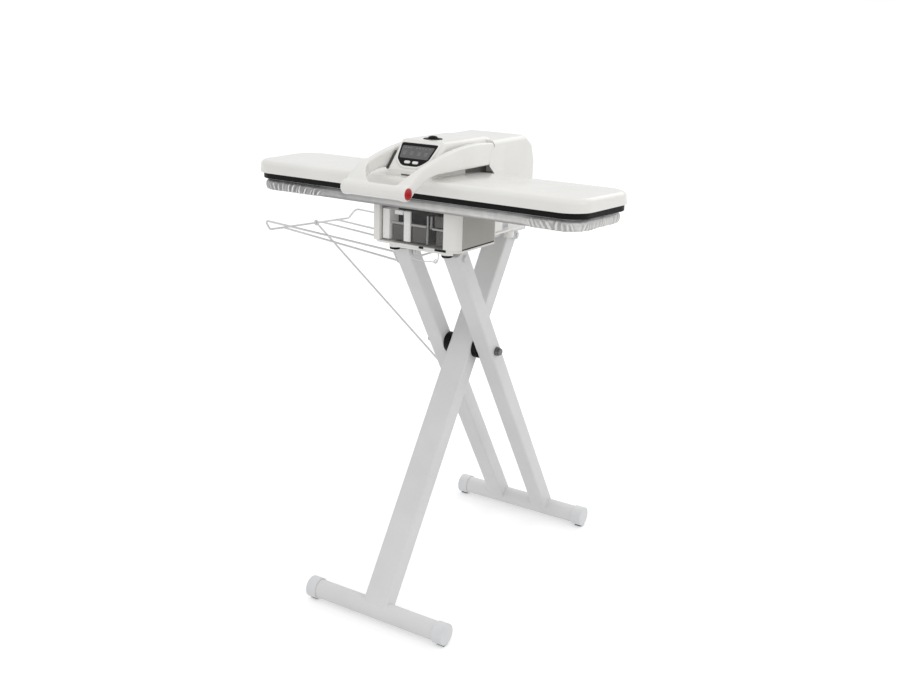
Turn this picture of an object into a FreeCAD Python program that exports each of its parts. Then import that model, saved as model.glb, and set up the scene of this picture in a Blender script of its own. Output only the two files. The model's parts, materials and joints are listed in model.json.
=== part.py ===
import FreeCAD, Part

import math
import os
import re

import Sketcher

# Steam ironing press on a folding stand, in millimetres.
# X runs along the press, the user stands at -Y, Z is up and the floor is at zero.
# Four frames carry the pieces: the floor, the two legs with their origin at the pivot,
# and the platform with its origin on the rails, straight above the hinge of the outer legs.

doc = FreeCAD.newDocument("steam_press")
sheet = doc.addObject("Spreadsheet::Sheet", "Sizes")

# Driving dimensions

SIZES = {
    # feet
    "foot_bar_length": 360, "foot_tube_dia": 42, "foot_tube_wall": 1.5, "foot_spread": 313,
    "foot_cap_dia": 47, "foot_cap_reach": 22, "foot_cap_end": 3, "sole_height": 1.5,
    "sole_width": 16, "sole_length": 18, "sole_bite": 3,
    # legs and pivot
    "pivot_y": 36, "pivot_height": 529, "leg_reach": 275, "leg_depth": 38, "leg_wall": 1.5,
    "outer_leg_width": 40, "outer_leg_offset": 63, "centre_leg_width": 60,
    "axle_dia": 12, "bush_wall": 4, "spacer_dia": 46, "side_play": 0.2, "shaft_play": 0.05,
    "nut_dia": 20, "nut_height": 7, "nut_dome": 5,
    "bolt_dia": 8, "bolt_head_dia": 15, "bolt_head_height": 5,
    "cross_pin_dia": 10, "roller_width": 10, "roller_play": 0.3,
    # platform
    "rail_offset": 36.5, "rail_width": 10, "rail_height": 12, "rail_wall": 1.2,
    "rail_front": 28, "rail_rear": 36, "hinge_drop": 22, "ear_radius": 9, "ear_width": 6,
    "strip_depth": 16, "rear_strip_depth": 12,
    # wire rack and stay
    "wire_dia": 4.5, "rack_inner": 97, "rack_outer": 430, "rack_front": -35, "rack_inner_front": 1,
    "rack_back": 301, "rack_ramp_front": 16, "rack_ramp_back": 30, "rack_inner_drop": 58,
    "rack_inner_top_drop": 32, "rack_outer_drop": 24, "rack_outer_fall": 14, "rack_front_drop": 1,
    "rack_back_drop": 19, "rack_bend": 9, "rack_wire_a": 27, "rack_wire_b": 166, "rack_wire_c": 225,
    "bracket_a": 70, "bracket_b": 250, "bracket_width": 14, "bracket_thickness": 4, "wire_play": 0.3,
    "stay_at": 146, "stay_foot_drop": 90, "stay_foot_gap": 6, "rest_length": 16, "rest_depth": 9,
    # base
    "base_half": 105, "base_front": -63, "base_back": 81, "base_height": 83.5, "base_wall": 2.5,
    "base_corner": 17, "base_left_corner": 2.5,
    "tray_thickness": 4.5, "tray_tail_half": 62, "tray_tail_back": 284,
    "bay_left": -89, "bay_right": 69, "bay_wall": 5, "panel_proud": 1.2, "panel_margin": 17, "panel_edge": 3,
    "housing_half": 56, "housing_back": 196, "housing_height": 76, "housing_gap": 0.5,
    "tank_play": 0.5, "tank_wall": 2.2, "tank_depth": 122, "tank_height": 70, "tank_corner": 9,
    "tank_step": 3, "tank_step_at": 40, "lid_thickness": 2.5, "filler_dia": 34,
    "filler_height": 3.5, "filler_y": -30,
    "valve_dia": 14, "valve_length": 14,
    "pump_dia": 30, "pump_length": 62, "hose_dia": 8, "hose_wall": 1.6, "gland_dia": 16, "gland_length": 14,
    "board_thickness": 1.6, "power_board_length": 80, "power_board_lift": 6,
    "foot_dia": 24, "foot_height": 15, "foot_x": 65, "foot_front_y": -40, "foot_back_y": 225,
    # hinge of the head
    "hinge_y": 228, "hinge_z": 112, "hinge_shaft_dia": 14, "pedestal_half": 40, "pedestal_radius": 20,
    "pedestal_wall": 5, "lift_arm_gap": 4, "lift_arm_width": 4, "lift_arm_boss": 18, "lift_bush_wall": 3,
    "spring_wall": 4.5, "spring_gap": 0.5, "spring_space": 6,
    "lift_arm_front": 45, "lift_arm_low": 124, "lift_arm_top": 141,
    # board
    "front_edge": -112.5, "back_edge": 100.5, "front_half": 395.5, "back_half": 419.5, "corner_radius": 52,
    "pad_inset": 13, "deck_inset": 24, "deck_height": 10, "pad_bottom": 84, "pad_crown": 1.2,
    "pad_shoulder": 6, "pad_pinch": 1.5, "plate_gap": 0.3,
    # head
    "plate_bottom": 106.5, "plate_thickness": 5.5, "rim_inset": 8.5, "rim_lift": 2, "rim_height": 12.5,
    "rim_wall": 8, "cover_front_height": 27, "cover_back_height": 24, "cover_wall": 2.5, "cover_round": 9,
    "element_dia": 6, "element_x": 300, "element_front": -55, "element_back": 34,
    "thermostat_dia": 18, "thermostat_height": 9,
    "hood_half": 54, "hood_front": -90, "hood_top": 216, "hood_back": 118, "hood_wall": 2.5,
    "hood_round": 11,
    "hood_gap": 0.3, "console_y": -84, "console_z": 167, "console_run": 39, "console_rise": 42.5,
    "console_thickness": 4, "console_half": 44, "console_lower_half": 38, "console_foot_half": 20,
    "console_bend": 17, "console_length": 56, "console_round": 4, "lens_half": 33,
    "lens_low": 20, "lens_high": 50,
    "lens_depth": 2, "button_x": 9.7, "button_y": 9, "button_length": 14, "button_width": 6.5,
    "button_proud": 1.6, "button_travel": 1.2, "button_play": 0.25, "control_board_gap": 4,
    "control_board_half": 38, "control_board_length": 46,
    "bezel_dia": 40, "bezel_height": 1.2, "dome_dia": 22, "dome_height": 5.5, "dome_flange": 2,
    "steam_y": -4,
    "rear_cover_half": 76, "rear_cover_bottom": 104, "rear_cover_front_top": 209.5, "rear_cover_top": 210.5,
    "rear_cover_crest": 252, "rear_cover_shoulder": 284, "rear_cover_shoulder_z": 190,
    "rear_cover_bulge": 297, "rear_cover_bulge_z": 150, "rear_cover_foot": 295, "rear_cover_round": 14,
    # handle
    "bar_y": -197.6, "bar_z": 134.3, "bar_dia": 28, "arm_end_dia": 31, "arm_inner": 60, "arm_width": 17,
    "handle_pin_y": 60, "handle_pin_z": 183, "handle_pin_dia": 10, "arm_tail_gap": 0.6,
    "arm_low": 159.5, "arm_crown": 206, "arm_top": 205, "arm_bend_y": -80, "arm_shoulder_y": -119.5,
    "arm_shoulder_z": 184.5, "arm_round": 5, "tail_round": 6.5, "arm_pin_depth": 13,
    "cap_dia": 24, "cap_proud": 1.5, "cap_socket": 2,
}

# Sizes worked out from the driving ones

DERIVED = {
    "foot_axis": "foot_cap_dia / 2 + sole_height",
    "rear_lean": "atan((foot_spread - pivot_y) / (pivot_height - foot_axis))",
    "front_lean": "atan((foot_spread + pivot_y) / (pivot_height - foot_axis))",
    "tilt": "(front_lean - rear_lean) / 2",
    "rear_reach": "(pivot_height - foot_axis) / cos(rear_lean)",
    "front_reach": "(pivot_height - foot_axis) / cos(front_lean)",
    "roller_rest": "2 * leg_reach * sin((rear_lean + front_lean) / 2)",
    "platform_y": "pivot_y - leg_reach * sin(rear_lean) + hinge_drop * sin(tilt)",
    "platform_z": "pivot_height + leg_reach * cos(rear_lean) + hinge_drop * cos(tilt)",
    "outer_leg_inside": "outer_leg_offset - outer_leg_width / 2",
    "outer_leg_outside": "outer_leg_offset + outer_leg_width / 2",
    "centre_half": "centre_leg_width / 2",
    "roller_radius": "hinge_drop - rail_height - roller_play",
    "rail_inside": "rail_offset - rail_width / 2",
    "rail_outside": "rail_offset + rail_width / 2",
    "rail_end": "roller_rest + rail_rear",
    "side_slope": "(back_half - front_half) / (back_edge - front_edge)",
    "side_secant": "sqrt(1 + side_slope * side_slope)",
    "rim_bottom": "plate_bottom + rim_lift",
    "rim_top": "rim_bottom + rim_height",
    "plate_top": "plate_bottom + plate_thickness",
    "lift_arm_inside": "pedestal_half + lift_arm_gap",
    "console_slope": "atan(console_rise / console_run)",
    "tank_bottom": "tray_thickness + tank_play",
    "tank_front": "base_front + 1.5 * tank_play",
    "tank_left": "bay_left + tank_play",
    "tank_right": "bay_right - tank_play",
    "tank_top": "tank_bottom + tank_height",
    "arm_outer": "arm_inner + arm_width",
}


def fill_sheet():
    """Write every size into the sheet, each with its own alias."""
    for row, (alias, value) in enumerate(SIZES.items(), start=1):
        sheet.set(f"A{row}", alias.replace("_", " "))
        sheet.set(f"B{row}", str(value))
        sheet.setAlias(f"B{row}", alias)
    for row, (alias, formula) in enumerate(DERIVED.items(), start=1):
        sheet.set(f"D{row}", alias.replace("_", " "))
        sheet.set(f"E{row}", "=" + formula)
        sheet.setAlias(f"E{row}", alias)
    doc.recompute()


fill_sheet()
ALIASES = set(SIZES) | set(DERIVED)


def ex(text):
    """An expression in plain size names, as the document's expressions spell it."""
    return re.sub(r"[a-z_]+", lambda word: "Sizes." + word[0] if word[0] in ALIASES else word[0], str(text))


def size(alias):
    """One value of the sheet as a plain number."""
    value = getattr(sheet, alias)
    return float(getattr(value, "Value", value))


# Frames and nodes

FRAMES = {
    "floor": ("0", "0", "0 deg"),
    "rear_leg": ("pivot_y", "pivot_height", "rear_lean"),
    "front_leg": ("pivot_y", "pivot_height", "-front_lean"),
    "platform": ("platform_y", "platform_z", "-tilt"),
}
NODES = []


def seat(thing, frame, y="0", z="0", turn="0 deg"):
    """Bind a piece's placement to a frame, or to a point of the frame with a turn about X."""
    origin_y, origin_z, lean = FRAMES[frame]
    thing.Placement = FreeCAD.Placement(FreeCAD.Vector(), FreeCAD.Rotation(FreeCAD.Vector(1, 0, 0), 1))
    thing.setExpression("Placement.Base.y", ex(f"{origin_y} + ({y}) * cos({lean}) - ({z}) * sin({lean})"))
    thing.setExpression("Placement.Base.z", ex(f"{origin_z} + ({y}) * sin({lean}) + ({z}) * cos({lean})"))
    thing.setExpression("Placement.Rotation.Angle", ex(f"{lean} + ({turn})"))


def node(label, thing, frame, y="0", z="0", turn="0 deg"):
    """Name a finished sub-part, seat it in its frame and list it for export."""
    if thing.TypeId in ("Part::Box", "Part::Cylinder"):
        thing = group_of(thing)
    thing.Label = label
    seat(thing, frame, y, z, turn)
    NODES.append(thing)
    return thing


# Part primitives bound to the sheet

TURNS = {
    "x": FreeCAD.Rotation(FreeCAD.Vector(0, 1, 0), 90),
    "y": FreeCAD.Rotation(FreeCAD.Vector(1, 0, 0), -90),
    "z": FreeCAD.Rotation(),
}


def put(thing, x, y, z, axis="z"):
    """Bind the place of a primitive inside its sub-part."""
    thing.Placement = FreeCAD.Placement(FreeCAD.Vector(), TURNS[axis])
    for letter, value in zip("xyz", (x, y, z)):
        thing.setExpression(f"Placement.Base.{letter}", ex(value))
    return thing


def box(x0, x1, y0, y1, z0, z1):
    """A block between two corners, each given as an expression."""
    block = doc.addObject("Part::Box", "block")
    block.setExpression("Length", ex(f"({x1}) - ({x0})"))
    block.setExpression("Width", ex(f"({y1}) - ({y0})"))
    block.setExpression("Height", ex(f"({z1}) - ({z0})"))
    return put(block, x0, y0, z0)


def rod(axis, radius, x, y, z, length):
    """A cylinder from a point along X, Y or Z."""
    cylinder = doc.addObject("Part::Cylinder", "rod")
    cylinder.setExpression("Radius", ex(radius))
    cylinder.setExpression("Height", ex(length))
    return put(cylinder, x, y, z, axis)


def fuse(*things):
    """The union of several shapes."""
    union = doc.addObject("Part::MultiFuse", "union")
    union.Shapes = list(things)
    return union


def cut(base, *tools):
    """A shape less its tools."""
    difference = doc.addObject("Part::Cut", "difference")
    difference.Base = base
    difference.Tool = tools[0] if len(tools) == 1 else fuse(*tools)
    return difference


def pair(thing):
    """A shape and its mirror image across the middle of the press, as two separate solids."""
    twin = doc.addObject("Part::Mirroring", "twin")
    twin.Source = thing
    twin.Normal = (1, 0, 0)
    group = doc.addObject("Part::Compound", "pair")
    group.Links = [thing, twin]
    return group


def group_of(*things):
    """Several separate solids in one sub-part."""
    group = doc.addObject("Part::Compound", "group")
    group.Links = list(things)
    return group


# PartDesign bodies bound to the sheet

def plane_of(body, role):
    return next(part for part in body.Origin.OriginFeatures if part.Role == role)


def sketch_on(body, plane, outlines, start):
    """A fully dimensioned sketch: polygons as lists of points, circles as (x, y, radius) tuples."""
    sketch = body.newObject("Sketcher::SketchObject", "sketch")
    sketch.AttachmentSupport = [(plane_of(body, plane), "")]
    sketch.MapMode = "FlatFace"
    sketch.setExpression("AttachmentOffset.Base.z", ex(start))

    def dimension(kind, geometry, point, value):
        index = sketch.addConstraint(Sketcher.Constraint(kind, -1, 1, geometry, point, evaluate(value)))
        sketch.setExpression(f"Constraints[{index}]", ex(value))

    for outline in outlines:
        if isinstance(outline, tuple):
            x, y, radius = outline
            centre = FreeCAD.Vector(evaluate(x), evaluate(y), 0)
            ring = Part.Circle(centre, FreeCAD.Vector(0, 0, 1), evaluate(radius))
            circle = sketch.addGeometry(ring, False)
            dimension("DistanceX", circle, 3, x)
            dimension("DistanceY", circle, 3, y)
            index = sketch.addConstraint(Sketcher.Constraint("Radius", circle, evaluate(radius)))
            sketch.setExpression(f"Constraints[{index}]", ex(radius))
            continue
        corners = [FreeCAD.Vector(evaluate(x), evaluate(y), 0) for x, y in outline]
        lines = []
        for here, there in zip(corners, corners[1:] + corners[:1]):
            lines.append(sketch.addGeometry(Part.LineSegment(here, there), False))
        for line, following in zip(lines, lines[1:] + lines[:1]):
            sketch.addConstraint(Sketcher.Constraint("Coincident", line, 2, following, 1))
        for line, (x, y) in zip(lines, outline):
            dimension("DistanceX", line, 1, x)
            dimension("DistanceY", line, 1, y)
    return sketch


def evaluate(text):
    """The present value of an expression in plain size names."""
    value = sheet.evalExpression(ex(text))
    return float(getattr(value, "Value", value))


def prism(outlines, plane="XY_Plane", start="0", length="1"):
    """A padded sketch in a body of its own."""
    body = doc.addObject("PartDesign::Body", "body")
    sketch = sketch_on(body, plane, outlines, start)
    pad = body.newObject("PartDesign::Pad", "pad")
    pad.Profile = sketch
    pad.setExpression("Length", ex(length))
    doc.recompute()
    return body


def pocket(body, outlines, plane, start, length, reverse=False):
    """Sink a sketch into a body; the cut runs against the sketch's normal unless it is reversed."""
    before = body.Shape.Volume
    sketch = sketch_on(body, plane, outlines, start)
    hollow = body.newObject("PartDesign::Pocket", "pocket")
    hollow.Profile = sketch
    hollow.Reversed = reverse
    hollow.setExpression("Length", ex(length))
    doc.recompute()
    if not body.Shape.Volume < before:
        raise RuntimeError("a pocket cut nothing")
    return body


def round_edges(body, radius, chosen):
    """Fillet the edges of a body that a test picks."""
    base = body.Tip
    names = [f"Edge{number}" for number, edge in enumerate(base.Shape.Edges, start=1) if chosen(edge)]
    fillet = body.newObject("PartDesign::Fillet", "fillet")
    fillet.Base = (base, names)
    fillet.setExpression("Radius", ex(radius))
    doc.recompute()
    return body


def upright(edge):
    """True for a straight edge along Z."""
    low, high = edge.BoundBox, edge.BoundBox
    return low.XLength < 1e-6 and low.YLength < 1e-6 and high.ZLength > 1e-6


def revolve(points):
    """A turned piece: its half section as (radius, height) points, turned about Z."""
    body = doc.addObject("PartDesign::Body", "turned")
    sketch = sketch_on(body, "XZ_Plane", [points], "0")
    turn = body.newObject("PartDesign::Revolution", "turn")
    turn.Profile = sketch
    turn.ReferenceAxis = (sketch, ["V_Axis"])
    turn.Angle = 360
    doc.recompute()
    return body


def shaped(shape):
    """A sub-part whose shape is worked out with Part's own functions."""
    feature = doc.addObject("Part::Feature", "shaped")
    feature.Shape = shape
    return feature


def vec(x, y, z):
    return FreeCAD.Vector(x, y, z)


# Feet of the stand

def foot(prefix, side):
    """A foot tube with its caps and sole pads; side is +1 for the rear foot and -1 for the front one."""
    centre = f"{side} * foot_spread"
    half = "foot_bar_length / 2"
    tube_half = f"({half} - foot_cap_end)"
    tube = cut(
        rod("x", "foot_tube_dia / 2", f"-{tube_half}", centre, "foot_axis", f"2 * {tube_half}"),
        rod("x", "foot_tube_dia / 2 - foot_tube_wall", f"-{tube_half} - 1", centre, "foot_axis",
            f"2 * {tube_half} + 2"),
    )
    node(f"{prefix}_foot_tube", tube, "floor")
    cap = cut(
        rod("x", "foot_cap_dia / 2", f"{tube_half} - foot_cap_reach", centre, "foot_axis",
            "foot_cap_reach + foot_cap_end"),
        rod("x", "foot_tube_dia / 2", f"{tube_half} - foot_cap_reach - 1", centre, "foot_axis",
            "foot_cap_reach + 1"),
    )
    node(f"{prefix}_foot_caps", pair(cap), "floor")
    middle = f"({half} - foot_cap_reach / 2)"
    sole = cut(
        box(f"{middle} - sole_length / 2", f"{middle} + sole_length / 2",
            f"{centre} - sole_width / 2", f"{centre} + sole_width / 2", "0", "sole_height + sole_bite"),
        rod("x", "foot_cap_dia / 2", f"{half} - 2 * foot_cap_reach", centre, "foot_axis",
            "3 * foot_cap_reach"),
    )
    node(f"{prefix}_sole_pads", pair(sole), "floor")


foot("rear", 1)
foot("front", -1)


# Legs

def leg(x0, x1, reach, *bores):
    """A square tube from the foot tube up to a round end about the upper hinge, open at the foot."""
    deep = "leg_depth / 2"
    outside = fuse(
        box(x0, x1, f"-{deep}", deep, f"-{reach}", "leg_reach"),
        rod("x", deep, x0, "0", "leg_reach", f"({x1}) - ({x0})"),
    )
    inside = fuse(
        box(f"{x0} + leg_wall", f"{x1} - leg_wall", f"leg_wall - {deep}", f"{deep} - leg_wall",
            f"-{reach}", "leg_reach"),
        rod("x", f"{deep} - leg_wall", f"{x0} + leg_wall", "0", "leg_reach",
            f"({x1}) - ({x0}) - 2 * leg_wall"),
    )
    seat_on_foot = rod("x", "foot_tube_dia / 2", f"{x0} - 1", "0", f"-{reach}", f"({x1}) - ({x0}) + 2")
    return cut(outside, inside, seat_on_foot, *bores)


def bore(radius, height):
    """A hole along X right through the stand, at a height along the leg."""
    return rod("x", radius, "-2 * outer_leg_outside", "0", height, "4 * outer_leg_outside")


node("outer_leg_right", leg("outer_leg_inside", "outer_leg_outside", "rear_reach",
                            bore("axle_dia / 2", "0"), bore("bolt_dia / 2", "leg_reach")), "rear_leg")
node("outer_leg_left", leg("-outer_leg_outside", "-outer_leg_inside", "rear_reach",
                           bore("axle_dia / 2", "0"), bore("bolt_dia / 2", "leg_reach")), "rear_leg")
node("centre_leg", leg("-centre_half", "centre_half", "front_reach",
                       bore("axle_dia / 2 + shaft_play + bush_wall", "0"),
                       bore("cross_pin_dia / 2", "leg_reach")), "front_leg")

# Pivot of the legs: the axle is held by the outer legs and turns in the centre leg's bush

axle_half = "(outer_leg_outside + nut_height)"
node("pivot_axle", rod("x", "axle_dia / 2", f"-{axle_half}", "0", "0", f"2 * {axle_half}"), "rear_leg")
cap_nut = cut(
    fuse(rod("x", "nut_dia / 2", "outer_leg_outside", "0", "0", "nut_height"),
         rod("x", "nut_dia / 2 - nut_dome / 2", "outer_leg_outside", "0", "0", "nut_height + nut_dome")),
    rod("x", "axle_dia / 2", "outer_leg_inside", "0", "0", "outer_leg_width + nut_height"),
)
node("pivot_cap_nuts", pair(cap_nut), "rear_leg")
spacer = cut(
    rod("x", "spacer_dia / 2", "centre_half + side_play", "0", "0",
        "outer_leg_inside - centre_half - side_play"),
    rod("x", "axle_dia / 2", "0", "0", "0", "outer_leg_outside"),
)
node("pivot_spacers", pair(spacer), "rear_leg")
bush = cut(
    rod("x", "axle_dia / 2 + shaft_play + bush_wall", "-centre_half", "0", "0", "centre_leg_width"),
    rod("x", "axle_dia / 2 + shaft_play", "-outer_leg_outside", "0", "0", "2 * outer_leg_outside"),
)
node("pivot_bush", bush, "front_leg")

# Upper ends of the legs: hinge bolts for the platform, cross pin with rollers under the rails

bolt = fuse(
    rod("x", "bolt_dia / 2", "rail_inside + side_play", "0", "leg_reach", "outer_leg_outside - rail_inside"),
    rod("x", "bolt_head_dia / 2", "outer_leg_outside", "0", "leg_reach", "bolt_head_height"),
)
bolt_nut = cut(
    rod("x", "bolt_head_dia / 2", "rail_inside + side_play", "0", "leg_reach",
        "rail_width - ear_width - 2 * side_play"),
    rod("x", "bolt_dia / 2", "0", "0", "leg_reach", "outer_leg_outside"),
)
node("platform_hinge_bolts", group_of(pair(bolt), pair(bolt_nut)), "rear_leg")
pin_half = "(outer_leg_inside - 4 * side_play)"
node("cross_pin", rod("x", "cross_pin_dia / 2", f"-{pin_half}", "0", "leg_reach", f"2 * {pin_half}"),
     "front_leg")
roller = cut(
    rod("x", "roller_radius", "centre_half + 2 * side_play", "0", "leg_reach", "roller_width"),
    rod("x", "cross_pin_dia / 2 + shaft_play", "0", "0", "leg_reach", "outer_leg_outside"),
)
node("cross_rollers", pair(roller), "front_leg")

# Platform: two rails with hinge ears, joined by strips


def rail(side):
    """One rail: a square tube with an ear for the hinge bolt at its front."""
    x0 = "rail_inside" if side > 0 else "-rail_outside"
    ear = "rail_outside - ear_width" if side > 0 else "-rail_outside"
    tube = cut(
        box(x0, f"{x0} + rail_width", "-rail_front", "rail_end", "-rail_height", "0"),
        box(f"{x0} + rail_wall", f"{x0} + rail_width - rail_wall", "-rail_front - 1", "rail_end + 1",
            "rail_wall - rail_height", "-rail_wall"),
    )
    lug = fuse(
        box(ear, f"{ear} + ear_width", "-ear_radius", "ear_radius", "-hinge_drop", "-rail_height"),
        rod("x", "ear_radius", ear, "0", "-hinge_drop", "ear_width"),
    )
    hole = rod("x", "bolt_dia / 2 + shaft_play", "-outer_leg_outside", "0", "-hinge_drop",
               "2 * outer_leg_outside")
    return cut(fuse(tube, lug), hole)


node("rail_right", rail(1), "platform")
node("rail_left", rail(-1), "platform")


def strip(start, end):
    """A square tube across the platform, between the rails."""
    return prism(
        [[(start, "-rail_height"), (end, "-rail_height"), (end, "0"), (start, "0")],
         [(f"{start} + rail_wall", "rail_wall - rail_height"),
          (f"{end} - rail_wall", "rail_wall - rail_height"),
          (f"{end} - rail_wall", "-rail_wall"), (f"{start} + rail_wall", "-rail_wall")]],
        "YZ_Plane", "-rail_inside", "2 * rail_inside")


node("platform_strips", group_of(strip("-rail_front", "strip_depth - rail_front"),
                                 strip("rail_end - rear_strip_depth", "rail_end")), "platform")


# Wire rack on the left, its brackets and its stay

def bent_wire(points, bend, diameter):
    """A round wire along straight runs joined by tangent arcs of one bend radius."""
    edges = []
    here = points[0]
    for before, corner, after in zip(points, points[1:], points[2:]):
        back = (before - corner).normalize()
        ahead = (after - corner).normalize()
        half_angle = back.getAngle(ahead) / 2
        step = bend / math.tan(half_angle)
        start = corner + back * step
        end = corner + ahead * step
        bisector = (back + ahead).normalize()
        middle = corner + bisector * (bend / math.sin(half_angle) - bend)
        edges.append(Part.makeLine(here, start))
        edges.append(Part.Arc(start, middle, end).toShape())
        here = end
    edges.append(Part.makeLine(here, points[-1]))
    path = Part.Wire(edges)
    circle = Part.Wire(Part.makeCircle(diameter / 2, points[0], points[1] - points[0]))
    return path.makePipeShell([circle], True, False)


def straight_wire(start, end, diameter):
    return Part.makeCylinder(diameter / 2, (end - start).Length, start, end - start)


def end_wire_point(y):
    """A point of the rack's end wire, which falls a little towards the back."""
    front = size("rack_front") + size("rack_ramp_front")
    back = size("rack_back") - size("rack_ramp_back")
    share = (y - front) / (back - front)
    return vec(-size("rack_outer"), y, -size("rack_outer_drop") - size("rack_outer_fall") * share)


def rack_shape():
    """The welded rack: a loop with raised front and back wires, and three wires across its floor."""
    dia, bend = size("wire_dia"), size("rack_bend")
    inner, outer = -size("rack_inner"), -size("rack_outer")
    front, inner_front, back = size("rack_front"), size("rack_inner_front"), size("rack_back")
    ramp_front, ramp_back = size("rack_ramp_front"), size("rack_ramp_back")
    low, high = -size("rack_inner_drop"), -size("rack_inner_top_drop")
    loop = [vec(inner, inner_front, high), vec(outer, front, -size("rack_front_drop")),
            end_wire_point(front + ramp_front), end_wire_point(back - ramp_back),
            vec(outer, back, -size("rack_back_drop")), vec(inner, back, high)]
    inside = [vec(inner, inner_front, high), vec(inner, inner_front + ramp_front, low),
              vec(inner, back - ramp_back, low), vec(inner, back, high)]
    wires = [bent_wire(loop, bend, dia), bent_wire(inside, bend, dia)]
    wires += [Part.makeSphere(dia / 2, inside[0]), Part.makeSphere(dia / 2, inside[-1])]
    for name in ("rack_wire_a", "rack_wire_b", "rack_wire_c"):
        wires.append(straight_wire(vec(inner, size(name), low), end_wire_point(size(name)), dia))
    return wires[0].multiFuse(wires[1:]).removeSplitter()


def bracket_shape(at):
    """A bracket under the left rail that carries the rack's inner wire in a round clip."""
    wide, thick = size("bracket_width"), size("bracket_thickness")
    x_wire, z_wire = -size("rack_inner"), -size("rack_inner_drop")
    x_rail = -size("rail_outside")
    clip = size("wire_dia") / 2 + size("wire_play") + thick
    y0 = at - wide / 2
    plate = Part.makeBox(x_rail - x_wire, wide, thick, vec(x_wire, y0, -size("rail_height")))
    drop = Part.makeBox(thick, wide, thick - size("rail_height") - z_wire,
                        vec(x_wire - thick / 2, y0, z_wire))
    ring = Part.makeCylinder(clip, wide, vec(x_wire, y0, z_wire), vec(0, 1, 0))
    hole = Part.makeCylinder(clip - thick, wide + 2, vec(x_wire, y0 - 1, z_wire), vec(0, 1, 0))
    return plate.fuse(drop).fuse(ring).cut(hole).removeSplitter()


def stay_foot():
    """Where the stay stands beside the left leg, as a point of the platform's frame."""
    lean, tilt = math.radians(size("rear_lean")), math.radians(size("tilt"))
    y = size("pivot_y") + size("stay_foot_drop") * math.sin(lean) - size("platform_y")
    z = size("pivot_height") - size("stay_foot_drop") * math.cos(lean) - size("platform_z")
    along = y * math.cos(tilt) - z * math.sin(tilt)
    above = y * math.sin(tilt) + z * math.cos(tilt)
    return vec(-size("outer_leg_outside") - size("stay_foot_gap"), along, above)


def stay_shape():
    """The stay: an eye round the rack's end wire and a straight run down to the leg."""
    dia = size("wire_dia")
    eye = end_wire_point(size("stay_at"))
    foot_point = stay_foot()
    run = (foot_point - eye).normalize()
    ring = Part.makeTorus(dia + size("wire_play"), dia / 2, eye, vec(0, 1, 0))
    wire = straight_wire(eye + run * (dia + size("wire_play")), foot_point, dia)
    return ring.multiFuse([wire, Part.makeSphere(dia / 2, foot_point)]).removeSplitter()


def rest_shape():
    """A wedge on the left leg whose face stands square to the stay."""
    lean, tilt = math.radians(size("rear_lean")), math.radians(size("tilt"))
    eye = end_wire_point(size("stay_at"))
    foot_point = stay_foot()
    run = (foot_point - eye).normalize()
    turn = -tilt - lean
    run = FreeCAD.Rotation(vec(1, 0, 0), math.degrees(turn)).multVec(run)
    foot_in_leg = vec(foot_point.x, 0, -size("stay_foot_drop"))
    deep, long = size("rest_depth"), size("rest_length")
    block = Part.makeBox(deep, long, 2 * long, vec(-size("outer_leg_outside") - deep, -long / 2,
                                                   -size("stay_foot_drop") - 2 * long + deep))
    face = foot_in_leg + run * (size("wire_dia") / 2 + size("wire_play"))
    big = 4 * long
    half_space = Part.makeBox(big, big, big, vec(-big / 2, -big / 2, 0))
    half_space.Placement = FreeCAD.Placement(face, FreeCAD.Rotation(vec(0, 0, 1), run * -1))
    return block.cut(half_space)


node("wire_rack", shaped(rack_shape()), "platform")
node("rack_brackets", group_of(shaped(bracket_shape(size("bracket_a"))),
                               shaped(bracket_shape(size("bracket_b")))), "platform")
node("rack_stay", shaped(stay_shape()), "platform")
node("stay_rest", shaped(rest_shape()), "rear_leg")

# Press base: tray, U-shaped shell round the tank bay, side panels

node("base_tray", round_edges(prism(
    [[("-base_half", "base_front"), ("base_half", "base_front"), ("base_half", "base_back"),
      ("tray_tail_half", "base_back"), ("tray_tail_half", "tray_tail_back"),
      ("-tray_tail_half", "tray_tail_back"), ("-tray_tail_half", "base_back"), ("-base_half", "base_back")]],
    "XY_Plane", "0", "tray_thickness"),
    "base_corner", lambda edge: upright(edge) and edge.BoundBox.YMax < size("base_front") + 1), "platform")

shell = prism(
    [[("-base_half", "base_front"), ("base_half", "base_front"),
      ("base_half", "base_back"), ("-base_half", "base_back")]],
    "XY_Plane", "tray_thickness", "base_height - tray_thickness")
shell = round_edges(shell, "base_corner", lambda edge: upright(edge) and edge.BoundBox.XMin > 0
                    and edge.BoundBox.YMax < size("base_front") + 1)
shell = round_edges(shell, "base_left_corner", lambda edge: upright(edge) and edge.BoundBox.XMax < 0
                    and edge.BoundBox.YMax < size("base_front") + 1)
pocket(shell, [[("bay_left", "base_front - 1"), ("bay_right", "base_front - 1"),
                ("bay_right", "base_back - bay_wall"), ("bay_left", "base_back - bay_wall")]],
       "XY_Plane", "base_height", "base_height")
cavity_back = "base_back - base_wall"
cavity_front = "base_front + base_corner"
pocket(shell, [[("bay_right + base_wall", cavity_front), ("base_half - base_wall", cavity_front),
                ("base_half - base_wall", cavity_back), ("bay_right + base_wall", cavity_back)]],
       "XY_Plane", "tray_thickness", "base_height - tray_thickness - base_wall", True)
pocket(shell, [[("base_wall - base_half", cavity_front), ("bay_left - base_wall", cavity_front),
                ("bay_left - base_wall", cavity_back), ("base_wall - base_half", cavity_back)]],
       "XY_Plane", "tray_thickness", "base_height - tray_thickness - base_wall", True)
node("base_shell", shell, "platform")

side_panel = box("base_half", "base_half + panel_proud", "base_front + panel_margin",
                 "base_back - panel_edge", "tray_thickness + panel_edge", "base_height - panel_edge")
node("side_panels", pair(side_panel), "platform")

# Water tank with its lid, filler cap and valve

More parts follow.
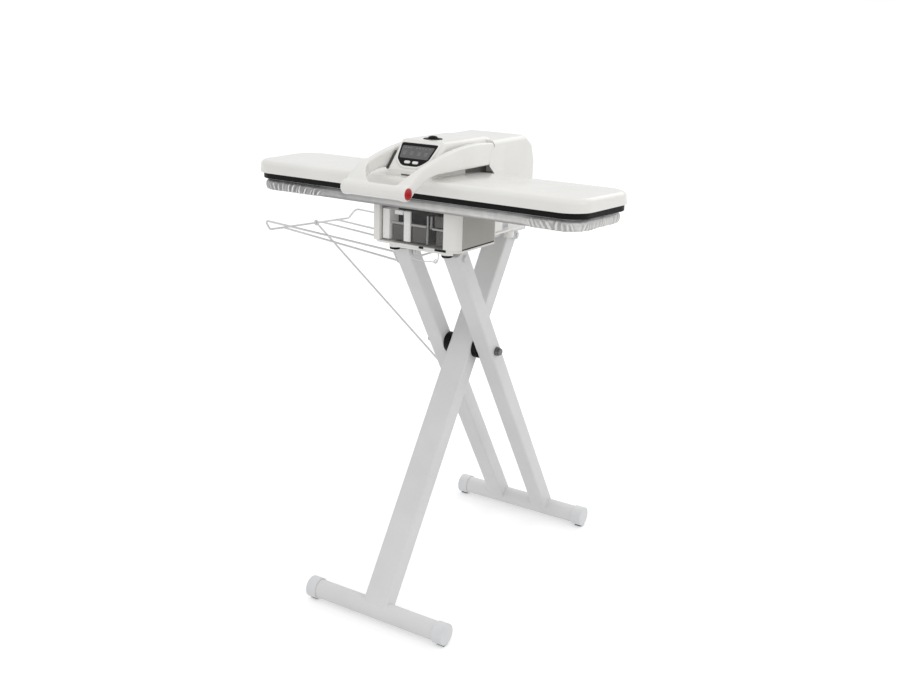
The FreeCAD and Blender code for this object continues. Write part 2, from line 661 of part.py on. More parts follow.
tank = round_edges(prism(
    [[("tank_left", "tank_front"), ("tank_right", "tank_front"),
      ("tank_right", "tank_front + tank_depth"), ("tank_left", "tank_front + tank_depth")]],
    "XY_Plane", "tank_bottom", "tank_height"), "tank_corner", upright)
pocket(tank, [[("tank_left - 1", "tank_front - 1"), ("tank_right + 1", "tank_front - 1"),
               ("tank_right + 1", "tank_front + tank_step"), ("tank_left - 1", "tank_front + tank_step")]],
       "XY_Plane", "tank_top + 1", "tank_height - tank_step_at + 1")
pocket(tank, [[("tank_left + tank_wall", "tank_front + tank_step + tank_wall"),
               ("tank_right - tank_wall", "tank_front + tank_step + tank_wall"),
               ("tank_right - tank_wall", "tank_front + tank_depth - tank_wall"),
               ("tank_left + tank_wall", "tank_front + tank_depth - tank_wall")]],
       "XY_Plane", "tank_top", "tank_height - tank_wall")
pocket(tank, [("0", "tank_bottom + valve_dia", "valve_dia / 2")], "XZ_Plane",
       "-(tank_front + tank_depth)", "2 * tank_wall", True)
node("water_tank", tank, "platform")
lid = round_edges(prism(
    [[("tank_left", "tank_front + tank_step"), ("tank_right", "tank_front + tank_step"),
      ("tank_right", "tank_front + tank_depth"), ("tank_left", "tank_front + tank_depth")],
     ("0", "filler_y", "filler_dia / 2 - lid_thickness")],
    "XY_Plane", "tank_top", "lid_thickness"), "tank_corner - tank_step", upright)
node("tank_lid", lid, "platform")
node("filler_cap", revolve([("0", "tank_top"), ("filler_dia / 2 - lid_thickness", "tank_top"),
                            ("filler_dia / 2 - lid_thickness", "tank_top + lid_thickness"),
                            ("filler_dia / 2", "tank_top + lid_thickness"),
                            ("filler_dia / 2", "tank_top + filler_height"),
                            ("0", "tank_top + filler_height")]),
     "platform", "filler_y")
node("tank_valve", rod("y", "valve_dia / 2", "0", "tank_front + tank_depth - 2 * tank_wall",
                       "tank_bottom + valve_dia", "valve_length - 2 * tank_wall"), "platform")

# Rear housing with the pump and the power board, hose and cord gland

housing_front = "base_back + housing_gap"
gland_z = "tray_thickness + gland_dia"
node("rear_housing", cut(
    box("-housing_half", "housing_half", housing_front, "housing_back", "tray_thickness", "housing_height"),
    box("base_wall - housing_half", "housing_half - base_wall", f"{housing_front} + base_wall",
        "housing_back - base_wall", "tray_thickness - 1", "housing_height - base_wall"),
    rod("y", "gland_dia / 2 - base_wall", "-housing_half / 2", "housing_back - 2 * base_wall",
        gland_z, "3 * base_wall"),
), "platform")
node("cord_gland", cut(
    fuse(rod("y", "gland_dia / 2", "-housing_half / 2", "housing_back", gland_z, "base_wall"),
         rod("y", "gland_dia / 2 - base_wall", "-housing_half / 2", "housing_back - base_wall",
             gland_z, "gland_length - housing_gap")),
    rod("y", "gland_dia / 4", "-housing_half / 2", "housing_back - 2 * base_wall", gland_z,
        "2 * gland_length")), "platform")
pump_y = "base_back + housing_gap + base_wall + pump_dia"
pump_z = "tray_thickness + pump_dia / 2"
node("steam_pump", fuse(
    rod("x", "pump_dia / 2", "-pump_length / 2", pump_y, pump_z, "pump_length"),
    box("-pump_length / 4", "pump_length / 4", f"{pump_y} - pump_dia / 2", f"{pump_y} + pump_dia / 2",
        "tray_thickness", pump_z)), "platform")
hose_x = "pump_length / 2 + hose_dia"
node("steam_hose", cut(
    rod("z", "hose_dia / 2", hose_x, pump_y, "tray_thickness",
        "housing_height - tray_thickness - base_wall"),
    rod("z", "hose_dia / 2 - hose_wall", hose_x, pump_y, "tray_thickness - 1", "housing_height")),
    "platform")
power_y = f"{pump_y} + pump_dia"
node("power_board", fuse(
    box("-power_board_length / 2", "power_board_length / 2", f"{power_y}", "housing_back - 2 * base_wall",
        "tray_thickness + power_board_lift", "tray_thickness + power_board_lift + board_thickness"),
    box("power_board_length / 4", "power_board_length / 2", f"{power_y}", f"{power_y} + power_board_lift",
        "tray_thickness", "tray_thickness + power_board_lift"),
    box("-power_board_length / 2", "-power_board_length / 4", f"{power_y}", f"{power_y} + power_board_lift",
        "tray_thickness", "tray_thickness + power_board_lift")), "platform")


def rubber_feet(x, y):
    """A pair of rubber feet under the tray."""
    return pair(rod("z", "foot_dia / 2", x, y, "-foot_height", "foot_height"))


node("press_feet", group_of(rubber_feet("foot_x", "foot_front_y"),
                            rubber_feet("tray_tail_half - foot_dia / 4", "foot_back_y")), "platform")

# Hinge pedestal, shaft and counterbalance springs

pedestal = cut(
    fuse(box("-pedestal_half", "pedestal_half", "hinge_y - pedestal_radius", "hinge_y + pedestal_radius",
             "tray_thickness", "hinge_z"),
         rod("x", "pedestal_radius", "-pedestal_half", "hinge_y", "hinge_z", "2 * pedestal_half")),
    fuse(box("pedestal_wall - pedestal_half", "pedestal_half - pedestal_wall",
             "hinge_y - pedestal_radius + pedestal_wall", "hinge_y + pedestal_radius - pedestal_wall",
             "tray_thickness - 1", "hinge_z"),
         rod("x", "pedestal_radius - pedestal_wall", "pedestal_wall - pedestal_half", "hinge_y", "hinge_z",
             "2 * (pedestal_half - pedestal_wall)")),
    rod("x", "hinge_shaft_dia / 2", "-2 * pedestal_half", "hinge_y", "hinge_z", "4 * pedestal_half"),
)
node("hinge_pedestal", pedestal, "platform")
shaft_half = "(lift_arm_inside + lift_arm_width + 1)"
node("hinge_shaft", rod("x", "hinge_shaft_dia / 2", f"-{shaft_half}", "hinge_y", "hinge_z",
                        f"2 * {shaft_half}"), "platform")
spring_length = "pedestal_half - pedestal_wall - spring_gap - spring_space"
spring = cut(
    rod("x", "hinge_shaft_dia / 2 + spring_gap + spring_wall", "spring_space", "hinge_y", "hinge_z",
        spring_length),
    rod("x", "hinge_shaft_dia / 2 + spring_gap", "0", "hinge_y", "hinge_z", "pedestal_half"))
node("head_springs", pair(spring), "platform")


# Plan of the board and the head: a trapezium with rounded corners, a little longer at the back

def slab(inset, low, height):
    """A flat piece on the plan of the press, drawn in on all sides by the inset."""
    front_x = f"(front_half + side_slope * ({inset}) - side_secant * ({inset}))"
    back_x = f"(back_half - side_slope * ({inset}) - side_secant * ({inset}))"
    body = prism([[(f"-{front_x}", f"front_edge + ({inset})"), (front_x, f"front_edge + ({inset})"),
                   (back_x, f"back_edge - ({inset})"), (f"-{back_x}", f"back_edge - ({inset})")]],
                 "XY_Plane", low, height)
    return round_edges(body, f"corner_radius - ({inset})", upright)


def plan_wire(inset, z_front, z_back, pinch=0.0):
    """The plan as lines and arcs on a level or sloping plane, its long sides drawn in by the pinch."""
    slope, secant = size("side_slope"), size("side_secant")
    y0, y1 = size("front_edge") + inset, size("back_edge") - inset
    x0 = size("front_half") + slope * inset - secant * inset
    x1 = size("back_half") - slope * inset - secant * inset
    rise = (z_back - z_front) / (size("back_edge") - size("front_edge"))
    corners = [vec(-x0, y0, 0), vec(x0, y0, 0), vec(x1, y1, 0), vec(-x1, y1, 0)]
    radius = size("corner_radius") - inset
    spots = []
    for before, corner, after in zip(corners[-1:] + corners[:-1], corners, corners[1:] + corners[:1]):
        back, ahead = (before - corner).normalize(), (after - corner).normalize()
        half_angle = back.getAngle(ahead) / 2
        step = radius / math.tan(half_angle)
        middle = corner + (back + ahead).normalize() * (radius / math.sin(half_angle) - radius)
        spots.append((corner + back * step, middle, corner + ahead * step))
    edges = []
    for number, (start, middle, end) in enumerate(spots):
        following = spots[(number + 1) % 4][0]
        edges.append(Part.Arc(start, middle, end).toShape())
        if pinch and number in (0, 2):
            inward = pinch if number == 0 else -pinch
            between = (end + following) * 0.5 + vec(0, inward, 0)
            edges.append(Part.Arc(end, between, following).toShape())
        else:
            edges.append(Part.makeLine(end, following))
    wire = Part.Wire(edges)
    lift = z_front - rise * size("front_edge")
    incline = FreeCAD.Rotation(vec(1, 0, 0), math.degrees(math.atan(rise)))
    wire.Placement = FreeCAD.Placement(vec(0, 0, lift), incline)
    return wire


# Board: deck and padded cover

node("board_deck", slab("deck_inset", "base_height", "pad_bottom + deck_height - base_height"), "platform")


def pad_shape():
    """The padded cover: drawn in along its sides, rounded over above and below, hollow for the deck."""
    low, top = size("pad_bottom"), size("plate_bottom") - size("plate_gap")
    shoulder, pinch, crown = size("pad_shoulder"), size("pad_pinch"), size("pad_crown")
    edge = size("pad_inset")
    wires = [
        plan_wire(edge + shoulder, low, low, pinch),
        plan_wire(edge + shoulder / 4, low + shoulder / 2, low + shoulder / 2, pinch),
        plan_wire(edge + 0.4, low + shoulder * 1.4, low + shoulder * 1.4, pinch),
        plan_wire(edge + 0.4, top - crown - shoulder, top - crown - shoulder, pinch),
        plan_wire(edge + shoulder / 3, top - crown - shoulder / 4, top - crown - shoulder / 4, pinch),
        plan_wire(edge + shoulder * 1.5, top - crown / 4, top - crown / 4, pinch),
        plan_wire(edge + shoulder * 4, top, top, pinch),
    ]
    padded = Part.makeLoft(wires, True, True)
    deck = plan_wire(size("deck_inset"), 0, 0)
    hollow = Part.Face(deck).extrude(vec(0, 0, size("pad_bottom") + size("deck_height")))
    return padded.cut(hollow)


node("ironing_pad", shaped(pad_shape()), "platform")

# Head: press plate in its black rim, heating element, thermostat

node("press_plate", slab("rim_inset + rim_wall", "plate_bottom", "plate_thickness"), "platform")
rim = cut(slab("rim_inset", "rim_bottom", "rim_height"),
          slab("rim_inset + rim_wall", "rim_bottom - 1", "rim_height + 2"))
node("head_rim", rim, "platform")


def element_shape():
    """The heating element: a tube bent into a U on the plate."""
    dia = size("element_dia")
    z = size("plate_top") + dia / 2
    x, y0, y1 = size("element_x"), size("element_front"), size("element_back")
    radius = (y1 - y0) / 2
    start, end = vec(-x, y0, z), vec(-x, y1, z)
    path = Part.Wire([Part.makeLine(start, vec(x - radius, y0, z)),
                      Part.Arc(vec(x - radius, y0, z), vec(x, (y0 + y1) / 2, z),
                               vec(x - radius, y1, z)).toShape(),
                      Part.makeLine(vec(x - radius, y1, z), end)])
    circle = Part.Wire(Part.makeCircle(dia / 2, start, vec(1, 0, 0)))
    return path.makePipeShell([circle], True, False)


node("heating_element", shaped(element_shape()), "platform")
node("thermostat", rod("z", "thermostat_dia / 2", "element_x / 2", "(element_front + element_back) / 2",
                       "plate_top", "thermostat_height"), "platform")


def cover_solid(inset, drop, lift):
    """The solid inside one surface of the head cover: upright sides and a slightly sloping top."""
    low = size("rim_top") + lift
    front = size("rim_top") + size("cover_front_height") - drop
    back = size("rim_top") + size("cover_back_height") - drop
    block = Part.makeLoft([plan_wire(inset, low, low), plan_wire(inset, front, back)], True, True)
    top = max(block.Faces, key=lambda face: face.CenterOfMass.z)
    return block.makeFillet(size("cover_round") - inset, top.Edges)


def cover_shape():
    """The head cover: a shell with a lip that sits on the rim and a notch at its middle for the hood."""
    wall, gap = size("cover_wall"), size("hood_gap")
    lip = Part.Face(plan_wire(size("rim_inset") + size("rim_wall") / 2, 0, 0))
    mouth = lip.extrude(vec(0, 0, size("rim_top") + 2 * wall))
    shell_shape = cover_solid(0, 0, 0).cut(cover_solid(wall, wall, wall)).cut(mouth)
    half = size("hood_half") + gap
    notch = Part.makeBox(2 * half, 2 * size("back_edge") - size("hood_front"), 2 * size("hood_top"),
                         vec(-half, size("hood_front") - gap, 0))
    return shell_shape.cut(notch)


node("head_cover", shaped(cover_shape()), "platform")


# Hood with the console, and the rear cover over the hinge

def side_profile(points, half):
    """A solid with the given side outline, as (y, z) points, across the middle of the press."""
    corners = [vec(-half, y, z) for y, z in points]
    face = Part.Face(Part.makePolygon(corners + corners[:1]))
    return face.extrude(vec(2 * half, 0, 0))


def console_point(along):
    """A point of the console slope, at a distance up from its foot."""
    slope = math.radians(size("console_slope"))
    return size("console_y") + along * math.cos(slope), size("console_z") + along * math.sin(slope)


def hood_outline(wall):
    """Side outline of the hood, drawn in by a wall."""
    slope = math.radians(size("console_slope"))
    top = size("hood_top") - wall
    front = size("hood_front") + wall
    y0, z0 = console_point(0)
    y0, z0 = y0 + wall * math.sin(slope), z0 - wall * math.cos(slope)
    rise = math.tan(slope)
    bottom = size("rim_top") - (1 if wall else 0)
    back = size("hood_back") + (1 if wall else 0)
    return [(front, bottom), (front, z0 + (front - y0) * rise), (y0 + (top - z0) / rise, top),
            (back, top), (back, bottom)]


def hood_solid(wall, half, radius):
    """The hood's body, drawn in by a wall, with its upper side edges rounded."""
    body = side_profile(hood_outline(wall), half)
    slope_foot = size("console_z") - 4 * size("hood_wall")
    sides = [edge for edge in body.Edges
             if edge.BoundBox.XLength < 1e-6 and edge.BoundBox.ZMin > slope_foot
             and edge.BoundBox.YMin < size("hood_back") - 1]
    return body.makeFillet(radius, sides)


def hood_shape():
    """The hood: a shell open below and behind, with a hole for the steam button."""
    wall, half = size("hood_wall"), size("hood_half")
    outside = hood_solid(0, half, size("hood_round"))
    inside = hood_solid(wall, half - wall, size("hood_round") - wall)
    top = size("hood_top")
    hole = Part.makeCylinder(size("dome_dia") / 2 + size("button_play"), 4 * wall,
                             vec(0, size("steam_y"), top - 2 * wall))
    pins = Part.makeCylinder(size("handle_pin_dia") / 2, 4 * half,
                             vec(-2 * half, size("handle_pin_y"), size("handle_pin_z")), vec(1, 0, 0))
    return outside.cut(inside).cut(hole).cut(pins)


node("hood", shaped(hood_shape()), "platform")


def rear_outline(wall):
    """Side outline of the rear cover, drawn in by a wall."""
    bottom = size("rear_cover_bottom") - (1 if wall else 0)
    front = size("hood_back") + wall
    return [(front, bottom), (front, size("rear_cover_front_top") - wall),
            (size("rear_cover_crest") - wall / 2, size("rear_cover_top") - wall),
            (size("rear_cover_shoulder") - wall, size("rear_cover_shoulder_z") - wall / 2),
            (size("rear_cover_bulge") - wall, size("rear_cover_bulge_z")),
            (size("rear_cover_foot") - wall, bottom)]


def rear_solid(wall, half, radius):
    """The rear cover's body, drawn in by a wall, with every edge rounded but its front and its foot."""
    body = side_profile(rear_outline(wall), half)
    low, behind = size("rear_cover_bottom"), size("hood_back") + wall + 1
    sides = [edge for edge in body.Edges if edge.BoundBox.XLength < 1e-6
             and edge.BoundBox.ZMax > low + 1 and edge.BoundBox.YMax > behind]
    across = [edge for edge in body.Edges if edge.BoundBox.XLength > 1
              and edge.BoundBox.YMin > behind and edge.BoundBox.ZMin > low + 1]
    return body.makeFillet(radius, sides + across)


def rear_cover_shape():
    """The rear cover: a rounded shell over the hinge, open below and open to the hood."""
    wall, half, radius = size("hood_wall"), size("rear_cover_half"), size("rear_cover_round")
    low = size("rear_cover_bottom")
    outside = rear_solid(0, half, radius)
    inside = rear_solid(wall, half - wall, radius - wall)
    mouth_half = size("hood_half") - wall
    mouth = Part.makeBox(2 * mouth_half, 4 * wall, size("hood_top") - size("hood_round") - low,
                         vec(-mouth_half, size("hood_back") - 2 * wall, low - wall))
    return outside.cut(inside).cut(mouth)


node("rear_cover", shaped(rear_cover_shape()), "platform")


# Lift arms from the press plate to the hinge shaft, with their bushes

bush_radius = "hinge_shaft_dia / 2 + shaft_play + lift_bush_wall"


def lift_arm():
    """The right arm: a flat bar from the plate back to a round eye on the shaft."""
    x0, x1 = "lift_arm_inside", "lift_arm_inside + lift_arm_width"
    arm = fuse(
        box(x0, x1, "lift_arm_front", "back_edge - rim_inset - 2 * rim_wall", "plate_top", "lift_arm_top"),
        box(x0, x1, "lift_arm_front", "hinge_y", "lift_arm_low", "lift_arm_top"),
        box(x0, x1, "hinge_y - lift_arm_boss", "hinge_y + lift_arm_boss", "hinge_z", "lift_arm_low"),
        rod("x", "lift_arm_boss", x0, "hinge_y", "hinge_z", "lift_arm_width"))
    return cut(arm, rod("x", bush_radius, "0", "hinge_y", "hinge_z", "2 * hood_half"))


node("lift_arms", pair(lift_arm()), "platform")
node("lift_bushes", pair(cut(
    rod("x", bush_radius, "lift_arm_inside", "hinge_y", "hinge_z", "lift_arm_width"),
    rod("x", "hinge_shaft_dia / 2 + shaft_play", "0", "hinge_y", "hinge_z", "2 * hood_half"))), "platform")

# Console: panel, lens, buttons and control board lie on the hood's slope

CONSOLE = ("console_y", "console_z", "console_slope")


def oval(centre, play):
    """Corners of a key's outline with clipped ends, grown by the play."""
    half, wide = f"(button_length / 2 + {play})", f"(button_width / 2 + {play})"
    clip = "(button_width / 4)"
    left, right = f"{centre} - {half}", f"{centre} + {half}"
    low, high = f"button_y - {wide}", f"button_y + {wide}"
    return [(f"{left} + {clip}", low), (f"{right} - {clip}", low),
            (right, f"{low} + {clip}"), (right, f"{high} - {clip}"),
            (f"{right} - {clip}", high), (f"{left} + {clip}", high),
            (left, f"{high} - {clip}"), (left, f"{low} + {clip}")]


panel = round_edges(prism(
    [[("-console_foot_half", "0"), ("console_foot_half", "0"), ("console_lower_half", "console_bend"),
      ("console_half", "console_length"), ("-console_half", "console_length"),
      ("-console_lower_half", "console_bend")]],
    "XY_Plane", "0", "console_thickness"), "console_round", upright)
pocket(panel, [oval("button_x", "button_play")], "XY_Plane", "console_thickness", "console_thickness + 1")
pocket(panel, [oval("(-button_x)", "button_play")], "XY_Plane", "console_thickness", "console_thickness + 1")
lens_outline = [("-lens_half", "lens_low"), ("lens_half", "lens_low"),
                ("lens_half", "lens_high"), ("-lens_half", "lens_high")]
pocket(panel, [lens_outline], "XY_Plane", "console_thickness", "lens_depth")
node("console_panel", panel, "platform", *CONSOLE)
node("display_lens", prism([lens_outline], "XY_Plane", "console_thickness - lens_depth", "lens_depth"),
     "platform", *CONSOLE)
for name, centre in (("console_button_right", "button_x"), ("console_button_left", "(-button_x)")):
    key = prism([oval(centre, "0")], "XY_Plane", "button_travel + button_play",
                "console_thickness + button_proud - button_travel - button_play")
    node(name, key, "platform", *CONSOLE)
node("control_board", fuse(
    box("-control_board_half", "control_board_half", "2 * console_round", "control_board_length",
        "-hood_wall - control_board_gap - board_thickness", "-hood_wall - control_board_gap"),
    rod("z", "control_board_gap / 2", "control_board_half - control_board_gap", "control_board_length / 2",
        "-hood_wall - control_board_gap", "control_board_gap"),
    rod("z", "control_board_gap / 2", "control_board_gap - control_board_half", "control_board_length / 2",
        "-hood_wall - control_board_gap", "control_board_gap")), "platform", *CONSOLE)

# Steam button: a dome through the hood in a dark bezel, kept in by a flange under the hood's wall

node("steam_bezel", cut(
    rod("z", "bezel_dia / 2", "0", "steam_y", "hood_top", "bezel_height"),
    rod("z", "dome_dia / 2 + button_play", "0", "steam_y", "hood_top - 1", "bezel_height + 2")), "platform")
flange_top = "(hood_top - hood_wall - button_play)"
dome_low = "(hood_top + bezel_height)"
node("steam_button", revolve([
    ("0", f"{flange_top} - dome_flange"), ("dome_dia / 2 + dome_flange", f"{flange_top} - dome_flange"),
    ("dome_dia / 2 + dome_flange", flange_top), ("dome_dia / 2", flange_top), ("dome_dia / 2", dome_low),
    ("dome_dia / 2 - dome_height / 8", f"{dome_low} + dome_height * 3 / 8"),
    ("dome_dia / 2 - dome_height / 2", f"{dome_low} + dome_height * 3 / 4"),
    ("dome_dia / 5", f"{dome_low} + dome_height"), ("0", f"{dome_low} + dome_height")]),
     "platform", "steam_y")


# Handle: two arms and a grip bar in one moulding, red end caps, pins

def arm_shape():
    """The right arm: from the grip bar up over a shoulder, past its pin to an end rounded about that pin."""
    y_bar, z_bar, radius = size("bar_y"), size("bar_z"), size("arm_end_dia") / 2
    y_pin, z_pin = size("handle_pin_y"), size("handle_pin_z")
    tail = size("hood_back") - size("arm_tail_gap") - y_pin
    y_shoulder, z_shoulder = size("arm_shoulder_y"), size("arm_shoulder_z")
    low, y_bend = size("arm_low"), size("arm_bend_y")
    x0 = size("arm_inner")

    def spot(y, z):
        return vec(x0, y, z)

    def on_bar(degrees):
        angle = math.radians(degrees)
        return spot(y_bar + radius * math.cos(angle), z_bar + radius * math.sin(angle))

    def on_tail(z):
        return spot(y_pin + math.sqrt(tail ** 2 - (z - z_pin) ** 2), z)

    crest = spot(y_bar + radius * 2.4, z_shoulder - radius * 0.85)
    neck_top, neck_low = on_bar(80), on_bar(-50)
    shoulder = spot(y_shoulder, z_shoulder)
    tail_top, tail_low = on_tail(size("arm_top")), on_tail(low)
    bend = spot(y_bend, low)
    throat = spot((y_bend + neck_low.y) / 2 - radius * 0.3, low - radius * 0.55)
    edges = [
        Part.Arc(neck_low, on_bar(180), neck_top).toShape(),
        Part.Arc(neck_top, crest, shoulder).toShape(),
        Part.Arc(shoulder, spot((y_shoulder + tail_top.y) / 2, size("arm_crown")), tail_top).toShape(),
        Part.Arc(tail_top, spot(y_pin + tail, z_pin), tail_low).toShape(),
        Part.makeLine(tail_low, bend),
        Part.Arc(bend, throat, neck_low).toShape(),
    ]
    face = Part.Face(Part.Wire(edges))
    return face.extrude(vec(size("arm_width"), 0, 0))


def handle_shape():
    """Both arms and the grip bar, with sockets for the end caps and the pins."""
    arm = arm_shape()
    corners = [edge for edge in arm.Edges
               if edge.BoundBox.XLength > 1 and edge.BoundBox.YMin > size("handle_pin_y")]
    arm = arm.makeFillet(size("tail_round"), corners)
    rims = [edge for edge in arm.Edges if edge.BoundBox.XLength < 1e-6]
    arm = arm.makeFillet(size("arm_round"), rims)
    x0, x1 = size("arm_inner"), size("arm_outer")
    cap = Part.makeCylinder(size("cap_dia") / 2, size("cap_socket") + 1,
                            vec(x1 - size("cap_socket"), size("bar_y"), size("bar_z")), vec(1, 0, 0))
    pin = Part.makeCylinder(size("handle_pin_dia") / 2 + size("shaft_play"), size("arm_pin_depth") + 1,
                            vec(x0 - 1, size("handle_pin_y"), size("handle_pin_z")), vec(1, 0, 0))
    arm = arm.cut(cap).cut(pin)
    other = arm.mirror(vec(0, 0, 0), vec(1, 0, 0))
    reach = x0 + size("arm_round")
    bar = Part.makeCylinder(size("bar_dia") / 2, 2 * reach,
                            vec(-reach, size("bar_y"), size("bar_z")), vec(1, 0, 0))
    return arm.multiFuse([other, bar]).removeSplitter()


node("handle", shaped(handle_shape()), "platform")
node("handle_end_caps", pair(rod("x", "cap_dia / 2", "arm_outer - cap_socket", "bar_y", "bar_z",
                                 "cap_socket + cap_proud")), "platform")
pin_start = "(hood_half - 2 * hood_wall)"
node("handle_pins", pair(rod("x", "handle_pin_dia / 2", pin_start, "handle_pin_y", "handle_pin_z",
                             f"arm_inner + arm_pin_depth - side_play - {pin_start}")), "platform")

# Check every object and write the sub-parts

doc.recompute()
for thing in doc.Objects:
    if "Invalid" in thing.State or "Error" in thing.State:
        raise RuntimeError(f"{thing.Name} ({thing.Label}) failed: {thing.State}")
for thing in NODES:
    if thing.Shape.isNull() or not thing.Shape.isValid():
        raise RuntimeError(f"{thing.Label} has no valid shape")
os.makedirs("parts", exist_ok=True)
for thing in NODES:
    thing.Shape.exportStep(f"parts/{thing.Label}.step")
    print(f"{thing.Label}: {len(thing.Shape.Solids)} solids, {thing.Shape.Volume / 1000:.1f} cm3")
print(len(NODES), "sub-parts")
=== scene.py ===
# %% [markdown]
# # A steam ironing press on its folding stand
# The press is a padded board with a heated head that comes down on it. A crossed stand carries
# both. The packed CAD model is the skeleton of this scene: a piece below dresses one of its solids,
# takes its place or is set against it. Blender works in metres. The sizes in this file are
# millimetres unless a line says otherwise, and MM turns one into the other.

# %% Load the packed model
import json
import math

import bmesh
import bpy
import numpy as np
from mathutils import Matrix, Vector, bvhtree, kdtree


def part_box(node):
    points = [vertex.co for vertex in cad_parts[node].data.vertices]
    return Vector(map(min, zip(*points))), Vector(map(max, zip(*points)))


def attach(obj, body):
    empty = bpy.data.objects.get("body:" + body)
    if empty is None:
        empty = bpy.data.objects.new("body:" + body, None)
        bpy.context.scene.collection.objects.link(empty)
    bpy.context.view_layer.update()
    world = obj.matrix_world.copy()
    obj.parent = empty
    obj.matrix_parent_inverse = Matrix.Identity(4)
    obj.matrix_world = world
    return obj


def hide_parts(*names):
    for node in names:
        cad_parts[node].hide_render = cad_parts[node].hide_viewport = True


MM = 0.001
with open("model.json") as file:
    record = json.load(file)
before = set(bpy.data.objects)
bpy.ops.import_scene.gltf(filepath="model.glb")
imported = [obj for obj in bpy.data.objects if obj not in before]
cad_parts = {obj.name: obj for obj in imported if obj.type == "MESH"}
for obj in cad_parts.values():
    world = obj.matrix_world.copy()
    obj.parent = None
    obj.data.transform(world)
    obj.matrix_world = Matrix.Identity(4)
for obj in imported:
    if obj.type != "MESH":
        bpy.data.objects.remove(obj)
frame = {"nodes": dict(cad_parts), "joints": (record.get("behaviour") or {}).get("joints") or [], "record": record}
nodes = frame["nodes"]
joints = {joint["name"]: joint for joint in frame["joints"]}
bodies = frame["record"]["behaviour"]["bodies"]
body_of_node = {node: body for body, members in bodies.items() for node in members}
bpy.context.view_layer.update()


def names(*made):
    """The names of things, for printing."""
    return ", ".join(thing.name for thing in made)


def add_piece(name, data):
    """A new object at the origin for a mesh, a curve, a lamp or a camera."""
    piece = bpy.data.objects.new(name, data)
    bpy.context.scene.collection.objects.link(piece)
    return piece


# %% [markdown]
# ## The press has its own level
# The platform of the real stand leans back by three degrees, so the press is described in a frame
# of its own: X runs along the board, Y away from the user and Z straight up from the board. The
# joints already hold these directions. The tank slides towards the user and the steam button goes
# straight down, so their axes are enough to build the frame, and it stays right if the CAD model
# changes.

# %% The press frame
AWAY = -Vector(joints["tank_slide"]["axis"]).normalized()
UP = -Vector(joints["steam_button_press"]["axis"]).normalized()
ALONG = AWAY.cross(UP)
RAIL_ABOVE_HINGE = 22
rail_top = Vector(joints["platform_level"]["pos_m"]) + RAIL_ABOVE_HINGE * MM * UP
press_turn = Matrix((ALONG, AWAY, UP)).transposed().to_4x4()
PRESS = Matrix.Translation(rail_top) @ press_turn @ Matrix.Scale(MM, 4)


def corners_in(place, mesh):
    """All corners of a mesh as rows of numbers, in a frame."""
    back = place.inverted()
    return np.array([back @ vertex.co for vertex in mesh.vertices])


def press_box(node):
    """Lowest and highest corner of a CAD node in the press frame, in millimetres."""
    corners = corners_in(PRESS, nodes[node].data)
    return Vector(corners.min(0)), Vector(corners.max(0))


print("press leans by", round(math.degrees(math.asin(UP.y)), 2), "degrees, rails at", rail_top)

# %% [markdown]
# ## Camera
# The picture is taken from the right of the press, a little above it. The place, the two angles and
# the lens were worked out from points that can be found both on the object and in the picture.
# Depth of field stays off, so that the other views are sharp too.

# %% Camera
CAMERA_PLACE = Vector((1311.8, -2034.7, 1380.8)) * MM
CAMERA_TURN, CAMERA_DIP = 33.13, 19.24
LENS, SENSOR = 45.99, 36

camera = add_piece("camera", bpy.data.cameras.new("camera"))
camera.location = CAMERA_PLACE
camera.rotation_euler = (math.radians(90 - CAMERA_DIP), 0, math.radians(CAMERA_TURN))
camera.data.sensor_fit = "HORIZONTAL"
camera.data.sensor_width = SENSOR
camera.data.lens = LENS
bpy.context.scene.camera = camera
print("camera", tuple(round(v, 3) for v in camera.location), "lens", LENS)

# %% [markdown]
# ## Writing materials as sums
# A material is a small graph of nodes. Wiring it by hand hides the idea, so one class wraps a
# socket and lets Python's own operators add the Math nodes: `0.3 + 0.1 * grain` reads as what it
# does. Everything else comes from one method, which takes the type of a node, its settings and its
# sockets.

